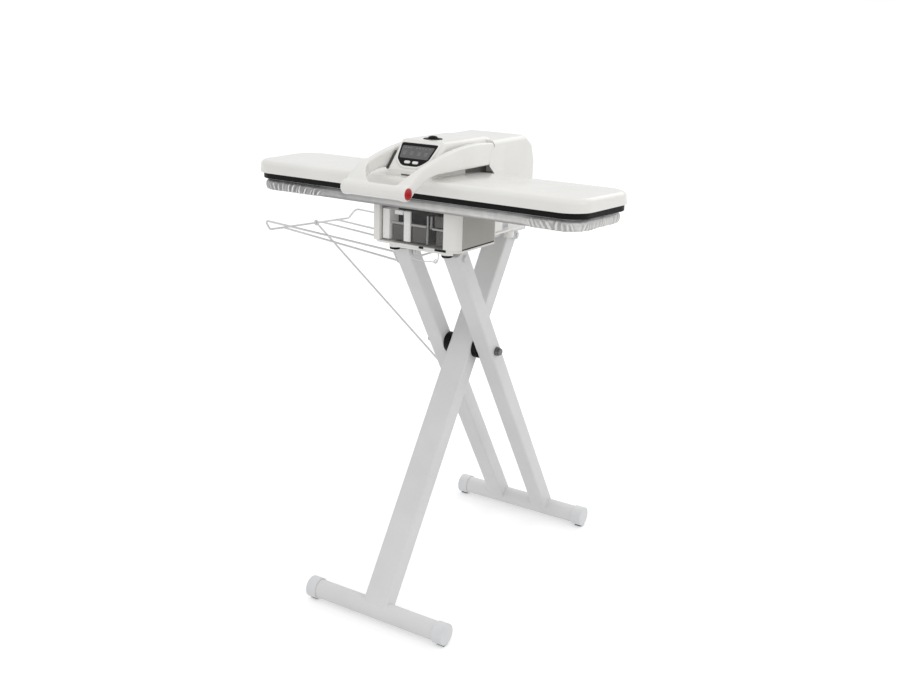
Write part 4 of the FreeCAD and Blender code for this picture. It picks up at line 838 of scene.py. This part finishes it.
def repeated(name, points, place, tree, material, body, **sizes):
    """Run an instance tree on points in a frame, in metres, and keep the result as a plain mesh."""
    mesh = bpy.data.meshes.new(name)
    mesh.from_pydata([Vector(point) * MM for point in points], [], [])
    piece = add_piece(name, mesh)
    modifier = piece.modifiers.new("repeat", "NODES")
    modifier.node_group = tree
    for item in tree.interface.items_tree:
        if item.in_out == "INPUT" and item.name in sizes:
            modifier[item.identifier] = sizes[item.name] * MM
        elif item.in_out == "INPUT" and item.name == "Material":
            modifier[item.identifier] = material
    bake(piece)
    piece.data.transform(place @ Matrix.Scale(1 / MM, 4))
    return settle(piece, body, material)


def bar_shape(start, inputs):
    """A small box of the tree's length, width and height."""
    size = start.node("ShaderNodeCombineXYZ",
                      sockets={"X": inputs["Length"], "Y": inputs["Width"], "Z": inputs["Height"]})
    return start.node("GeometryNodeMeshCube", sockets={"Size": size})


bar_tree = instance_tree("bars_on_points", bar_shape,
                         {"Length": 0.004, "Width": 0.001, "Height": 0.0004})
MARK_HEIGHT, MARK_THICK = 2.95, 0.3
upper_row = [(x, 43.5, MARK_HEIGHT) for x in (-30, -23, -16, -2, 5, 12, 19, 29)]
lower_row = [(x, y, MARK_HEIGHT) for x in (-26, -9, 9, 25) for y in (27, 29.4, 31.8, 34.2)]
repeated("display_marks_upper", upper_row, CONSOLE, bar_tree, display_mark, "head",
         Length=4.6, Width=1.6, Height=MARK_THICK)
repeated("display_marks_lower", lower_row, CONSOLE, bar_tree, display_mark, "head",
         Length=8.5, Width=1.1, Height=MARK_THICK)
print("display marks:", len(upper_row) + len(lower_row))

# %% [markdown]
# ## The steam button
# A black dome in a thin dark disc on top of the hood. Both are turned shapes: rings around one
# axis.

# %% Steam button and its disc
bezel_low, bezel_high = press_box("steam_bezel")
button_high = press_box("steam_button")[1]
button_centre = ((bezel_low.x + bezel_high.x) / 2, (bezel_low.y + bezel_high.y) / 2)


def turned(name, profile, place=PRESS, centre=button_centre, closed=False):
    """A turned shape from (radius, height) pairs about an upright axis."""
    rings = [at_height(circle(radius, centre), height) for radius, height in profile]
    return skin(name, rings, place, closed)


DISC_PROFILE = [(11.4, -0.4), (19.6, -0.4), (20, 0.1), (19.4, 0.9), (18, 1.2), (12.2, 1.2),
                (11.4, 0.6)]
DOME_RADIUS, DOME_FOOT, DOME_SINK, DOME_STEPS, DOME_QUARTER = 10.6, 1.5, 1, 9, 8.6
foot, crest = bezel_low.z, button_high.z
disc = turned("steam_disc", [(radius, foot + height) for radius, height in DISC_PROFILE], closed=True)
dress(disc, "head", black_plastic, "steam_bezel")
dome_profile = [(DOME_RADIUS, foot - DOME_SINK)]
for step in range(DOME_STEPS):
    angle = math.pi / 2 * step / DOME_QUARTER
    height = foot + DOME_FOOT + (crest - foot - DOME_FOOT) * math.sin(angle)
    dome_profile.append((DOME_RADIUS * math.cos(angle), height))
dome = turned("steam_dome", dome_profile)
dress(dome, "steam_button", black_plastic, "steam_button", angle=60)
print("steam button", round(crest - foot, 1), "mm high")

# %% [markdown]
# ## The pad: a stuffed form
# The board is covered with felt under an aluminised cloth that is pulled tight along the front and
# gathered by an elastic at both ends. It is made in three steps. A closed form on the board's plan
# is remeshed into small squares, a short cloth simulation blows it up a little so that it looks
# stuffed, and the folds follow in the next cell, because remeshing would wipe them out.

# %% Stuffed pad
PAD_EDGE, DECK_EDGE = 13, 24
PAD_VOXEL, PAD_PRESSURE, PAD_FRAMES, PAD_SWELL = 5, 4, 20, 2.0
pad_low, pad_high = press_box("ironing_pad")
pad_foot, pad_top = pad_low.z, pad_high.z
deck_top = press_box("board_deck")[1].z
pad_profile = [
    (DECK_EDGE + 0.6, deck_top + 0.6), (DECK_EDGE + 0.6, pad_foot + 1.5), (22, pad_foot + 0.3),
    (18.5, pad_foot), (15.8, pad_foot + 1.2), (14.3, pad_foot + 4.5), (13.9, pad_foot + 9),
    (14.2, pad_foot + 14), (15.8, pad_top - 4.4), (19.5, pad_top - 1.8), (27, pad_top - 0.7),
    (45, pad_top - 0.5), (80, pad_top - 0.5)]
pad = skin("ironing_pad_cover", stacked(plan_ring, pad_profile), PRESS)
cells = pad.modifiers.new("cells", "REMESH")
cells.mode, cells.voxel_size = "VOXEL", PAD_VOXEL * MM
bake(pad)


def coordinates(mesh):
    """All corners of a mesh as rows of numbers."""
    flat = np.zeros(3 * len(mesh.vertices))
    mesh.vertices.foreach_get("co", flat)
    return flat.reshape(-1, 3)


def stuffed(piece, pressure, frames, most):
    """Blow a closed form up by a short cloth simulation; no corner moves more than most, in mm."""
    before = coordinates(piece.data)
    cloth = piece.modifiers.new("stuffing", "CLOTH")
    cloth.settings.use_pressure = True
    cloth.settings.uniform_pressure_force = pressure
    cloth.settings.effector_weights.gravity = 0
    cloth.collision_settings.use_collision = False
    cloth.point_cache.frame_end = frames
    for number in range(1, frames + 1):
        bpy.context.scene.frame_set(number)
    bake(piece)
    bpy.context.scene.frame_set(1)
    moved = coordinates(piece.data) - before
    length = np.linalg.norm(moved, axis=1, keepdims=True)
    moved *= np.minimum(1, most * MM / np.maximum(length, 1e-9))
    piece.data.vertices.foreach_set("co", (before + moved).ravel())
    piece.data.update()
    return float(length.max() / MM)


swell = stuffed(pad, PAD_PRESSURE, PAD_FRAMES, PAD_SWELL)
print("stuffing moved the pad by up to", round(swell, 1), "mm")
finer = pad.modifiers.new("finer", "SUBSURF")
finer.levels = finer.render_levels = 2
bake(pad)
print(pad.name, len(pad.data.polygons), "faces")

# %% [markdown]
# ## The pad: gathers at its ends
# The elastic in the hem pulls the cloth into folds. They are tight at the hem and fan out as they
# rise, and on the left they reach further in than on the right. Each fold is a ridge between two
# shallow grooves at its own place along the edge, with its own width, lean and depth, drawn from a
# seeded random generator. How far a corner is pushed and how near it is to the hem are kept as
# attributes, so that the finish can follow them.

# %% Gathered ends of the pad
GATHER_LEFT, GATHER_RIGHT = (200, 238), (262, 292)
GATHER_WIDE = 95
FOLD_EVERY, FOLD_DEPTH, BULGE, HANG = 11.0, 3.2, 3.4, 2.6
LEAN_INNER, LEAN_OUTER, LEAN_RANDOM = 1.5, -0.3, 0.22
HEM_SHADE_TOP = 0.28
FOLD_SHIFT, FOLD_WIDE, FOLD_STRENGTH, FOLD_TOP = 3.2, (1.7, 2.9), (0.5, 1), (0.75, 1.0)
FOLD_START, FOLD_FADE, FAN_FOOT = (0.06, 0.34), 0.3, 0.6
GROOVE_DEEP, GROOVE_WIDE, CALMER_END = 0.45, 2.4, 0.45
SKIRT_FULL, SKIRT_END, BULGE_ROUND, HANG_FADE = 4, 9, 0.7, (0.05, 0.75)
EDGE_STEP, FOLD_SEED, LEAST_FOLD = 2.0, 11, 0.2

edge_line = outline(head_plan, CORNER, PAD_EDGE, steps=40, spacing=EDGE_STEP)
edge_ahead = edge_line[1:] + edge_line[:1]
edge_steps = [(after - before).length for before, after in zip(edge_line, edge_ahead)]
edge_length = np.concatenate([[0], np.cumsum(edge_steps)[:-1]])
edge_x = np.array([point.x for point in edge_line])
finder = kdtree.KDTree(len(edge_line))
for number, point in enumerate(edge_line):
    finder.insert((point.x, point.y, 0), number)
finder.balance()


def smooth_step(values, low, high):
    """0 below low and 1 above high, with a soft start and end between them."""
    share = np.clip((values - low) / (high - low), 0, 1)
    return share * share * (3 - 2 * share)


def gathered(x, past=0.0):
    """How much of the gathers is there at a place along the board; past moves them further out."""
    left = smooth_step(-x, GATHER_LEFT[0] + past, GATHER_LEFT[1] + past)
    return left + smooth_step(x, GATHER_RIGHT[0] + past, GATHER_RIGHT[1] + past)


def fold_ridges(along, height, rise, seed):
    """How far the folds push each corner: along the edge, by height from 0 to 1 and by rise in mm."""
    draw = np.random.default_rng(seed)
    push = np.zeros(len(along))
    for start in np.arange(0, edge_length[-1], FOLD_EVERY):
        centre = start + draw.uniform(-FOLD_SHIFT, FOLD_SHIFT)
        width = draw.uniform(*FOLD_WIDE)
        x = np.interp(centre, edge_length, edge_x)
        outer = (gathered(x) + gathered(x, GATHER_WIDE / 2) + gathered(x, GATHER_WIDE)) / 3
        slant = LEAN_INNER + (LEAN_OUTER - LEAN_INNER) * outer
        lean = -np.sign(x) * slant + draw.normal(0, LEAN_RANDOM)
        calm = 1 - CALMER_END * gathered(x, GATHER_WIDE)
        depth = FOLD_DEPTH * draw.uniform(*FOLD_STRENGTH) * calm
        top = draw.uniform(*FOLD_TOP)
        offset = along - centre - lean * rise * (FAN_FOOT + (1 - FAN_FOOT) * height)
        groove = np.exp(-(offset / (GROOVE_WIDE * width)) ** 2)
        ridge = np.exp(-(offset / width) ** 2) - GROOVE_DEEP * groove
        from_hem = smooth_step(height, *FOLD_START)
        to_top = 1 - smooth_step(height, top - FOLD_FADE, top)
        push += depth * ridge * from_hem * to_top
    return push


def gather(piece, seed):
    """Push the corners of the skirt in and out along folds, and let the ends hang."""
    spots = corners_in(PRESS, piece.data)
    found = [finder.find((x, y, 0)) for x, y, z in spots]
    along = np.array([edge_length[number] for place, number, gap in found])
    turn = PRESS.inverted().to_3x3()
    outward = np.array([(turn @ vertex.normal).normalized() for vertex in piece.data.vertices])
    gaps = np.array([gap for place, number, gap in found])
    on_skirt = smooth_step(-gaps, -SKIRT_END, -SKIRT_FULL)
    ends = gathered(spots[:, 0])
    rise = spots[:, 2] - pad_foot
    height = rise / (pad_top - pad_foot)
    folds = fold_ridges(along, height, rise, seed) * on_skirt * ends
    bulge = BULGE * np.sin(math.pi * np.clip(height, 0, 1)) ** BULGE_ROUND
    push = folds + bulge * on_skirt * ends
    spots += outward * push[:, None]
    spots[:, 2] -= HANG * ends * on_skirt * (1 - smooth_step(height, *HANG_FADE))
    spots[:, 2] = np.minimum(spots[:, 2], pad_top)
    world = [PRESS @ Vector(spot) for spot in spots]
    piece.data.vertices.foreach_set("co", np.array(world).ravel())
    piece.data.attributes.new("fold", "FLOAT", "POINT").data.foreach_set("value", folds / FOLD_DEPTH)
    # this mask only darkens the cloth near the lower edge: painted shade along the hem
    hem = on_skirt * (1 - smooth_step(height, HEM_SHADE_TOP / 2, HEM_SHADE_TOP))
    piece.data.attributes.new("hem", "FLOAT", "POINT").data.foreach_set("value", hem)
    piece.data.update()
    return int((np.abs(folds) > LEAST_FOLD).sum())


print("corners in folds:", gather(pad, FOLD_SEED))

# %% [markdown]
# ## The pad: aluminised cloth
# The cloth is cotton with a thin layer of aluminium: a dull mirror with the weave showing through.
# Metallic is about half and less on the folds, the roughness follows fine creases, and two crossed
# waves make the weave as a bump. The ridges of the folds get a painted highlight, the grooves and
# the hem get painted shade, and painted shade also makes the left half darker than the right.

# %% Pad finish
def aluminised(name):
    """Silver cloth: a dull metal with a fine weave and soft wear, painted highlights on the ridges, painted shade
    in the grooves, along the hem and on the left half.
    """
    material, start, shader = finish(name, sheen_weight=0.15)
    place = start.node("ShaderNodeTexCoord", output=3)
    thread = {"wave_type": "BANDS", "wave_profile": "SIN"}
    warp, weft = (start.node("ShaderNodeTexWave", {**thread, "bands_direction": way},
                             {"Vector": place, "Scale": 160.0}, 1) for way in "XY")
    wear = start.noise(55, 4)
    crease = start.noise(90, 3, (1, 1, 0.5))
    fold = start.node("ShaderNodeAttribute", {"attribute_name": "fold"}, output=2)
    hem = start.node("ShaderNodeAttribute", {"attribute_name": "hem"}, output=2)
    along = start.node("ShaderNodeSeparateXYZ", sockets={"Vector": place})
    # the left half of the cloth is painted darker than the right: painted shade
    painted_lit_half = along.between(-0.2, 0.15)
    clean = painted_lit_half.mixed(colour(160, 160, 161), colour(212, 211, 209))
    # the groove colour is painted shade, and the ridge colour below it is a painted highlight
    groove = painted_lit_half.mixed(colour(128, 128, 129), colour(166, 166, 165))
    ridge_highlight = painted_lit_half.mixed(colour(250, 250, 250), colour(230, 229, 227))
    cloth = (0.6 * wear.between(0.35, 0.65)).mixed(clean, colour(186, 186, 186))
    groove_shaded = (0 - fold).between(0.02, 0.2).mixed(cloth, groove)
    ridged = fold.between(0.05, 0.26).mixed(groove_shaded, ridge_highlight)
    # the dark colour along the hem is painted shade
    feed(shader, base_color=(0.75 * hem).mixed(ridged, colour(112, 112, 113)),
         metallic=0.42 + 0.1 * wear - 0.3 * fold.between(0.05, 0.26), roughness=0.30 + 0.14 * crease,
         normal=start.bump(0.3 * (warp + weft) + 0.6 * crease, 0.2, 0.3))
    return material


pad_cloth = aluminised("pad_cloth")
dress(pad, "platform", pad_cloth, "ironing_pad", angle=80)
print(pad.name, "wears", pad_cloth.name)

# %% [markdown]
# ## Inside the water tank
# Through the smoky front one sees the tank's own ribs: a grey chamber with a ledge at half height,
# a white T-shaped filter holder and a pair of ribs. The white ones are thin and milky, so light
# comes through them, and a faint glow stands for it. All of them ride with the tank and come out
# when it is pulled.

# %% Tank insides
tank_low, tank_high = press_box("water_tank")
tank_face = tank_low.y
LIGHT_THROUGH_RIBS = 0.14
SMOOTH_WALL = {"uneven": 0.15, "ripple": 900, "depth": 0.05}
THIN_WALL = {"gloss": 0.35, "uneven": 0.12, "ripple": 900, "depth": 0.05}
tank_grey = moulded("tank_grey", (104, 102, 100), (96, 94, 92), gloss=0.45, **SMOOTH_WALL)
tank_dark = moulded("tank_dark", (44, 43, 42), (34, 33, 32), gloss=0.45, **SMOOTH_WALL)
tank_rib = moulded("tank_rib", (200, 199, 197), (190, 189, 187), **THIN_WALL)
tank_pale = moulded("tank_pale", (250, 249, 247), (244, 243, 241), glow=LIGHT_THROUGH_RIBS,
                    **THIN_WALL)
inner_low, inner_high = tank_low.z + 3, tank_high.z - 4
ledge = tank_low.z + 40
near, mid, far = tank_face + 6.5, tank_face + 12, tank_face + 40
TANK_CORNER = 1.2


def tank_block(x0, x1, z0, z1, front=mid, back=far):
    """A block in the tank between two places across it, two heights and two depths."""
    return rounded_box("tank_block", (x0, front, z0), (x1, back, z1), TANK_CORNER)


chamber = joined("tank_chamber", [
    tank_block(-66, -35, inner_low, ledge - 4), tank_block(-15, 22, inner_low, ledge - 4),
    tank_block(44, 65, inner_low, ledge - 6), tank_block(40, 65, ledge, inner_high - 2)])
dress(chamber, "tank", tank_grey)
# a dark wall at the back of the tank: painted shade for the darkness deep inside it
shade_wall = rounded_box("tank_back_wall", (-66, far + 1, inner_low), (65, far + 4, inner_high),
                         TANK_CORNER)
dress(shade_wall, "tank", tank_dark)
holder = joined("tank_holder", [
    tank_block(-33, -17, inner_low, inner_high, near, mid),
    tank_block(-56, -36, inner_high - 9, inner_high, near, mid),
    tank_block(-86, -69, inner_low, inner_high, near, far)])
dress(holder, "tank", tank_pale)
ribs = joined("tank_ribs", [
    tank_block(-66, -34, ledge - 3, ledge + 1.5, near, mid),
    tank_block(-16, 22, ledge - 3, ledge + 1.5, near, mid),
    tank_block(24, 26.5, inner_low, inner_high - 4, near, mid),
    tank_block(33, 35.5, ledge - 4, inner_high - 4, near, mid),
    tank_block(37, 65, ledge - 5, ledge - 1, near, mid)])
dress(ribs, "tank", tank_rib)
print("tank insides:", names(chamber, shade_wall, holder, ribs))

# %% [markdown]
# ## Painted shade and cheeks at the arms
# Under the back end of each arm of the handle, painted shade beside the hood shows as a dark wedge:
# a dark wall on the hood's side and a dark block behind the cover's edge.
# From outside, a thin cheek of the rear cover laps over the end of the arm, so that no gap shows
# while the arm can still swing behind it. Its front edge slants back under the arm. A white strip
# fills the slot above the pin.

# %% Painted shade under the arms
hood_high = press_box("hood")[1]
rear_low, rear_high = press_box("rear_cover")
WALL_FRONT, WALL_LOW, WALL_HIGH, BLOCK_TOP = 38, 139, 163, 143.5
STRIP_FRONT, STRIP_LOW, STRIP_HIGH = 66, 192, 203.5


def beside_hood(name, first, last, y, z, radius):
    """A box on each side of the hood, from a first to a last distance from its middle."""
    ends = [sorted((side * first, side * last)) for side in SIDES]
    return [rounded_box(name, (x0, y[0], z[0]), (x1, y[1], z[1]), radius) for x0, x1 in ends]


well_back = rear_low.y - 0.4
# a dark grey wall and block beside the hood: painted shade under the back end of each arm
arm_well_shade = joined("arm_wells", [
    *beside_hood("well_block", hood_high.x + 0.4, rear_high.x - 0.4, (cover_high.y + 0.4, well_back),
                 (cover_low.z + 2, BLOCK_TOP), 1),
    *beside_hood("well_wall", hood_high.x + 0.3, hood_high.x + 1.3, (WALL_FRONT, well_back),
                 (WALL_LOW, WALL_HIGH), 0.4)])
dress(arm_well_shade, "head", tank_grey, angle=20)
strips = joined("slot_strips", beside_hood("slot_strip", hood_high.x + 0.2, ARM_INSIDE - 0.4,
                                           (STRIP_FRONT, well_back), (STRIP_LOW, STRIP_HIGH), 1.5))
dress(strips, "head", white_plastic)
print(arm_well_shade.name, "and", strips.name, "end at", round(well_back, 1))

# %% Cheeks of the rear cover
CHEEK_EDGE_AT = [(122, 118), (140, 118), (158, 95), (184, 95), (198, 114), (207, 114)]
CHEEK_RAMP, CHEEK_FADE, CHEEK_END = 30, 118, 176
CHEEK_INSIDE, CHEEK_EDGE, CHEEK_PROUD, CHEEK_SINK = 1.1, 0.08, 0.8, 1.6
CHEEK_ROWS, CHEEK_STEPS = 34, 28
REAR_ROUND = 14
cheek_low, cheek_high = CHEEK_EDGE_AT[0][0], CHEEK_EDGE_AT[-1][0]
cheek_heights = spread(cheek_low, cheek_high, CHEEK_ROWS)


def rear_side(z):
    """How far the rear cover reaches sideways at a height."""
    over = max(z - (rear_high.z - REAR_ROUND), 0)
    return rear_high.x - REAR_ROUND + math.sqrt(max(REAR_ROUND ** 2 - over ** 2, 0))


def cheek_points(share, z):
    """Distance back, inner and outer reach of a cheek at a height; share is 0 at its front edge."""
    front = float(np.interp(z, *zip(*CHEEK_EDGE_AT)))
    y = front + (CHEEK_END - front) * share
    fade = 1 - smooth_step(y, CHEEK_FADE, CHEEK_END)
    inner = rear_side(z) + CHEEK_INSIDE * fade - CHEEK_SINK * (1 - fade)
    thick = CHEEK_EDGE + (CHEEK_PROUD - CHEEK_EDGE) * smooth_step(y, front, front + CHEEK_RAMP)
    return y, inner, inner + thick


def cheek(side):
    """A thin shell on one side: each ring goes up its outside and down its inside."""
    rings = []
    for step in range(CHEEK_STEPS + 1):
        points = [(*cheek_points(step / CHEEK_STEPS, z), z) for z in cheek_heights]
        ring = [(side * outer, y, z) for y, inner, outer, z in points]
        ring += [(side * inner, y, z) for y, inner, outer, z in reversed(points)]
        rings.append(ring if side < 0 else ring[::-1])
    return skin("cheek", rings, PRESS)


cheeks = both_sides("rear_cheeks", cheek)
dress(cheeks, "head", white_plastic, angle=40)
print(cheeks.name, len(cheeks.data.polygons), "faces")

# %% [markdown]
# ## Fairing of the hood, and painted shade beside it and at its foot
# Behind the hood its top runs down to the rear cover in a soft ramp instead of a step. In the slot
# between the hood and the arms lies a dark grey strip of painted shade, which shows as a dark line
# beside the console. At the foot of the hood a small dark box is painted shadow under its front. A
# ray from the front finds the face that the box sits in.

# %% Fairing, and painted shade at the hood
RAMP_FRONT, RAMP_BACK, RAMP_FOOT, RAMP_STEPS = 116, 160, 190, 16
RAMP_INSET, RAMP_SINK, HOOD_ROUND = 0.15, 1.5, 11


def ramp_ring(y):
    """A section of the hood's top, lower and lower towards the back."""
    share = smooth_step(y, RAMP_FRONT, RAMP_BACK)
    top = hood_high.z - RAMP_INSET - (hood_high.z - rear_high.z + RAMP_SINK) * share
    half = hood_high.x - RAMP_INSET
    corners = rectangle(-half, RAMP_FOOT, half, top)
    return [(x, y, z) for x, z in outline(corners, [1, 1, HOOD_ROUND, HOOD_ROUND])][::-1]


ramp_rings = [ramp_ring(y) for y in spread(RAMP_FRONT, RAMP_BACK, RAMP_STEPS)]
fairing = skin("hood_fairing", ramp_rings, PRESS)
dress(fairing, "head", white_plastic, angle=40)

SHADE_STRIP_DEPTH, SHADE_STRIP_THICK, SHADE_STRIP_FROM, SHADE_STRIP_TO = 5.5, 3.0, -5, 40
shade_strip_half = (hood_high.x + ARM_INSIDE) / 2
shade_strip_wide = (ARM_INSIDE - hood_high.x) / 2 - 0.4


def seal(side):
    """A dark strip beside the console, a little below its slope: painted shade in the slot between the hood and
    the arm.
    """
    low = (side * shade_strip_half - shade_strip_wide, SHADE_STRIP_FROM, -SHADE_STRIP_DEPTH - SHADE_STRIP_THICK)
    high = (side * shade_strip_half + shade_strip_wide, SHADE_STRIP_TO, -SHADE_STRIP_DEPTH)
    return rounded_box("seal", low, high, 0.6, CONSOLE)


slot_shades = both_sides("slot_seals", seal)
dress(slot_shades, "head", hose_rubber)

FOOT_SHADE_X, FOOT_SHADE_Z, FOOT_SHADE_SINK, FOOT_SHADE_PROUD = (-17, 6), (149.5, 153), 1.5, 0.25
IN_FRONT = -300
hood_surface = surface(bpy.data.objects["hood_dressed"])
foot_shade_face = hit_place(hood_surface, (sum(FOOT_SHADE_X) / 2, IN_FRONT, sum(FOOT_SHADE_Z) / 2), AWAY).y
# a dark box in the hood's front face, at its foot: painted shadow under the hood's front
hood_foot_shade = rounded_box("hood_vent", (FOOT_SHADE_X[0], foot_shade_face - FOOT_SHADE_PROUD, FOOT_SHADE_Z[0]),
                   (FOOT_SHADE_X[1], foot_shade_face + FOOT_SHADE_SINK, FOOT_SHADE_Z[1]), 0.2)
dress(hood_foot_shade, "head", tank_grey)
print(fairing.name, slot_shades.name, "and", hood_foot_shade.name, "at", round(foot_shade_face, 1))

# %% [markdown]
# ## Under the press
# The press stands on white feet. The front ones have black rubber soles, whose black is also
# painted shade under the feet. A white skirt hangs from the front of the tray, under the tank black
# boxes are painted shadow in the gaps beside its foot, and a dark seam runs below each side panel.
# A hook of bent wire keeps the cord out of the way: a curve with a round section, turned into a mesh.

# %% Feet of the press
feet_low, feet_high = press_box("press_feet")
FOOT_RADIUS, SOLE_SHARE = 12, 0.36
foot_rows = (feet_low.y + FOOT_RADIUS, feet_high.y - FOOT_RADIUS)
feet_spots = corners_in(PRESS, nodes["press_feet"].data)
foot_x = [feet_spots[abs(feet_spots[:, 1] - row) < 2 * FOOT_RADIUS, 0].max() - FOOT_RADIUS
          for row in foot_rows]
foot_base, sole_top = feet_low.z, feet_low.z + (feet_high.z - feet_low.z) * SOLE_SHARE


def press_feet(name, profile, row):
    """Two feet of a row as one piece, turned from (radius, height) pairs."""
    places = [(side * foot_x[row], foot_rows[row]) for side in SIDES]
    return joined(name, [turned("foot", profile, centre=place) for place in places])


sole_profile = [(FOOT_RADIUS - 3.5, foot_base), (FOOT_RADIUS - 1.2, foot_base + 0.8),
                (FOOT_RADIUS - 0.4, sole_top - 0.5), (FOOT_RADIUS - 0.6, sole_top)]
body_profile = [(FOOT_RADIUS - 0.3, sole_top), (FOOT_RADIUS, sole_top + 0.5),
                (FOOT_RADIUS, feet_high.z)]
feet = joined("press_foot_bodies", [press_feet("front_feet", body_profile, 0),
                                    press_feet("back_feet", sole_profile + body_profile[1:], 1)])
dress(feet, "platform", white_plastic, "press_feet")
# black rubber soles, whose black is also painted shade under the front feet
soles = press_feet("press_foot_soles", sole_profile, 0)
dress(soles, "platform", black_rubber)
print("feet from", round(foot_base, 1), "to", round(feet_high.z, 1))

# %% Skirt, gaps and seams
SKIRT_LOW, SKIRT_HIGH, SKIRT_ROUND = (-58, -62.4, -4.8), (92, -58, 0.1), 1.8
GAP_RANGES, GAP_LOW, GAP_HIGH, GAP_ROUND = [(11, 22), (50, 77)], (-63.9, 0.3), (-62.8, 4.6), 0.4
SEAM_PROUD, SEAM_ABOVE, SEAM_BELOW = 0.5, 0.2, 0.3
skirt = rounded_box("tray_skirt", SKIRT_LOW, SKIRT_HIGH, SKIRT_ROUND)
dress(skirt, "platform", white_plastic)
# black boxes beside the tank's foot: painted shadow in the gaps
gaps = joined("tank_gaps", [rounded_box("tank_gap", (x0, *GAP_LOW), (x1, *GAP_HIGH), GAP_ROUND)
                            for x0, x1 in GAP_RANGES])
dress(gaps, "platform", black_plastic)

panel_low, panel_high = press_box("side_panels")
shell_side = press_box("base_shell")[1].x
seam_low, seam_high = press_box("base_tray")[1].z + SEAM_BELOW, panel_low.z - SEAM_ABOVE


def panel_seam(side):
    """A dark strip below a side panel; side is -1 on the left."""
    x0, x1 = sorted((side * shell_side, side * (shell_side + SEAM_PROUD)))
    return rounded_box("panel_seam", (x0, panel_low.y, seam_low), (x1, panel_high.y, seam_high), 0.15)


seams = both_sides("panel_seams", panel_seam)
dress(seams, "platform", black_plastic)
print(skirt.name, gaps.name, "and", seams.name)

# %% Cord hook
HOOK_X, HOOK_Y, HOOK_SLANT, HOOK_WIRE = 47.5, -45, 0.06, 2.2
HOOK_LINE = [(47.5, 0.4), (47.5, -12), (47, -20), (45.5, -27), (40.5, -30.5), (36.5, -27),
             (39, -22.5), (43.5, -22), (44, -26), (38, -28), (30, -27.6), (12, -29.3), (-18, -27),
             (-26, -14), (-26, 0.4)]


def bent_wire(name, points, thickness):
    """A round wire along a smooth line through the press frame, as a plain mesh."""
    line = bpy.data.curves.new(name, "CURVE")
    line.dimensions = "3D"
    line.bevel_depth, line.bevel_resolution, line.use_fill_caps = thickness / 2 * MM, 2, True
    spline = line.splines.new("NURBS")
    spline.points.add(len(points) - 1)
    for knot, point in zip(spline.points, points):
        knot.co = (*(PRESS @ Vector(point)), 1)
    spline.order_u, spline.use_endpoint_u, spline.resolution_u = 3, True, 6
    holder = add_piece(name + "_line", line)
    depsgraph = bpy.context.evaluated_depsgraph_get()
    mesh = bpy.data.meshes.new_from_object(holder.evaluated_get(depsgraph))
    bpy.data.objects.remove(holder)
    return add_piece(name, mesh)


hook_points = [(x, HOOK_Y + HOOK_SLANT * (x - HOOK_X), z) for x, z in HOOK_LINE]
hook = bent_wire("cord_hook", hook_points, HOOK_WIRE)
dress(hook, "platform", rack_wire, angle=60)
print(hook.name, len(hook.data.polygons), "faces")

# %% [markdown]
# ## Small repeated parts
# Steam leaves through rows of small holes in the pressing plate, the housing behind the tank
# breathes through louvres, screws hold its back, and a line of stitches closes the hem under the
# pad. The holes and louvres are dark discs and bars on the surface: painted shade for the openings.
# All of them are one small shape on many points, so the same kind of Geometry Nodes tree makes them.

# %% Steam holes, louvres and screws
def disc_shape(start, inputs):
    """A small round plate of the tree's radius and depth."""
    return start.node("GeometryNodeMeshCylinder", sockets={
        "Vertices": 12, "Radius": inputs["Radius"], "Depth": inputs["Depth"]})


disc_tree = instance_tree("discs_on_points", disc_shape, {"Radius": 0.002, "Depth": 0.0004})
plate_low, plate_high = press_box("press_plate")
HOLE_PITCH, HOLE_ROWS, HOLE_REACH = 34, 7, 330
hole_points = []
for row in range(HOLE_ROWS):
    y = plate_low.y + (plate_high.y - plate_low.y) * (row + 1) / (HOLE_ROWS + 1)
    shift = HOLE_PITCH / 2 * (row % 2)
    last = HOLE_REACH + 1 - round(shift)
    hole_points += [(x + shift, y, plate_low.z) for x in range(-HOLE_REACH, last, HOLE_PITCH)]
# dark discs on the plate: painted shade in the steam holes
repeated("steam_holes", hole_points, PRESS, disc_tree, black_rubber, "head", Radius=2.1, Depth=0.2)

housing_low, housing_high = press_box("rear_housing")
facing_back = Matrix.Rotation(-math.pi / 2, 4, "X")
HOUSING_BACK = PRESS @ Matrix.Translation((0, housing_high.y, 0)) @ facing_back
LOUVRE_X, LOUVRE_HEIGHTS = 18, range(18, 61, 6)
SCREW_INSET, SCREW_LOW, SCREW_BELOW_TOP, SCREW_PROUD = 7, 14, 8, 0.4
louvre_points = [(LOUVRE_X, -z, 0) for z in LOUVRE_HEIGHTS]
# dark bars on the housing's back: painted shade in the louvres
repeated("housing_louvres", louvre_points, HOUSING_BACK, bar_tree, black_rubber, "platform",
         Length=54, Width=2.6, Height=0.5)
screw_x = (housing_low.x + SCREW_INSET, housing_high.x - SCREW_INSET)
screw_z = (SCREW_LOW, housing_high.z - SCREW_BELOW_TOP)
screw_points = [(x, -z, SCREW_PROUD) for x in screw_x for z in screw_z]
repeated("housing_screws", screw_points, HOUSING_BACK, disc_tree, steel, "platform",
         Radius=3.0, Depth=1.6)
print(len(hole_points), "holes,", len(louvre_points), "louvres,", len(screw_points), "screws")

# %% Stitches along the hem
STITCH_PITCH, STITCH_INSET, STITCH_REACH, BELOW_PAD = 9, 21.0, 330, 60
pad_surface = surface(pad)
hem_front, hem_back = cover_low.y + STITCH_INSET, cover_high.y - STITCH_INSET
stitch_places = range(-STITCH_REACH, STITCH_REACH + 1, STITCH_PITCH)
stitch_points = [hit_place(pad_surface, (x, y, pad_foot - BELOW_PAD), UP)
                 for y in (hem_front, hem_back) for x in stitch_places]
repeated("hem_stitches", stitch_points, PRESS, bar_tree, grey_plastic, "platform",
         Length=5.5, Width=0.9, Height=0.7)
print(len(stitch_points), "stitches")
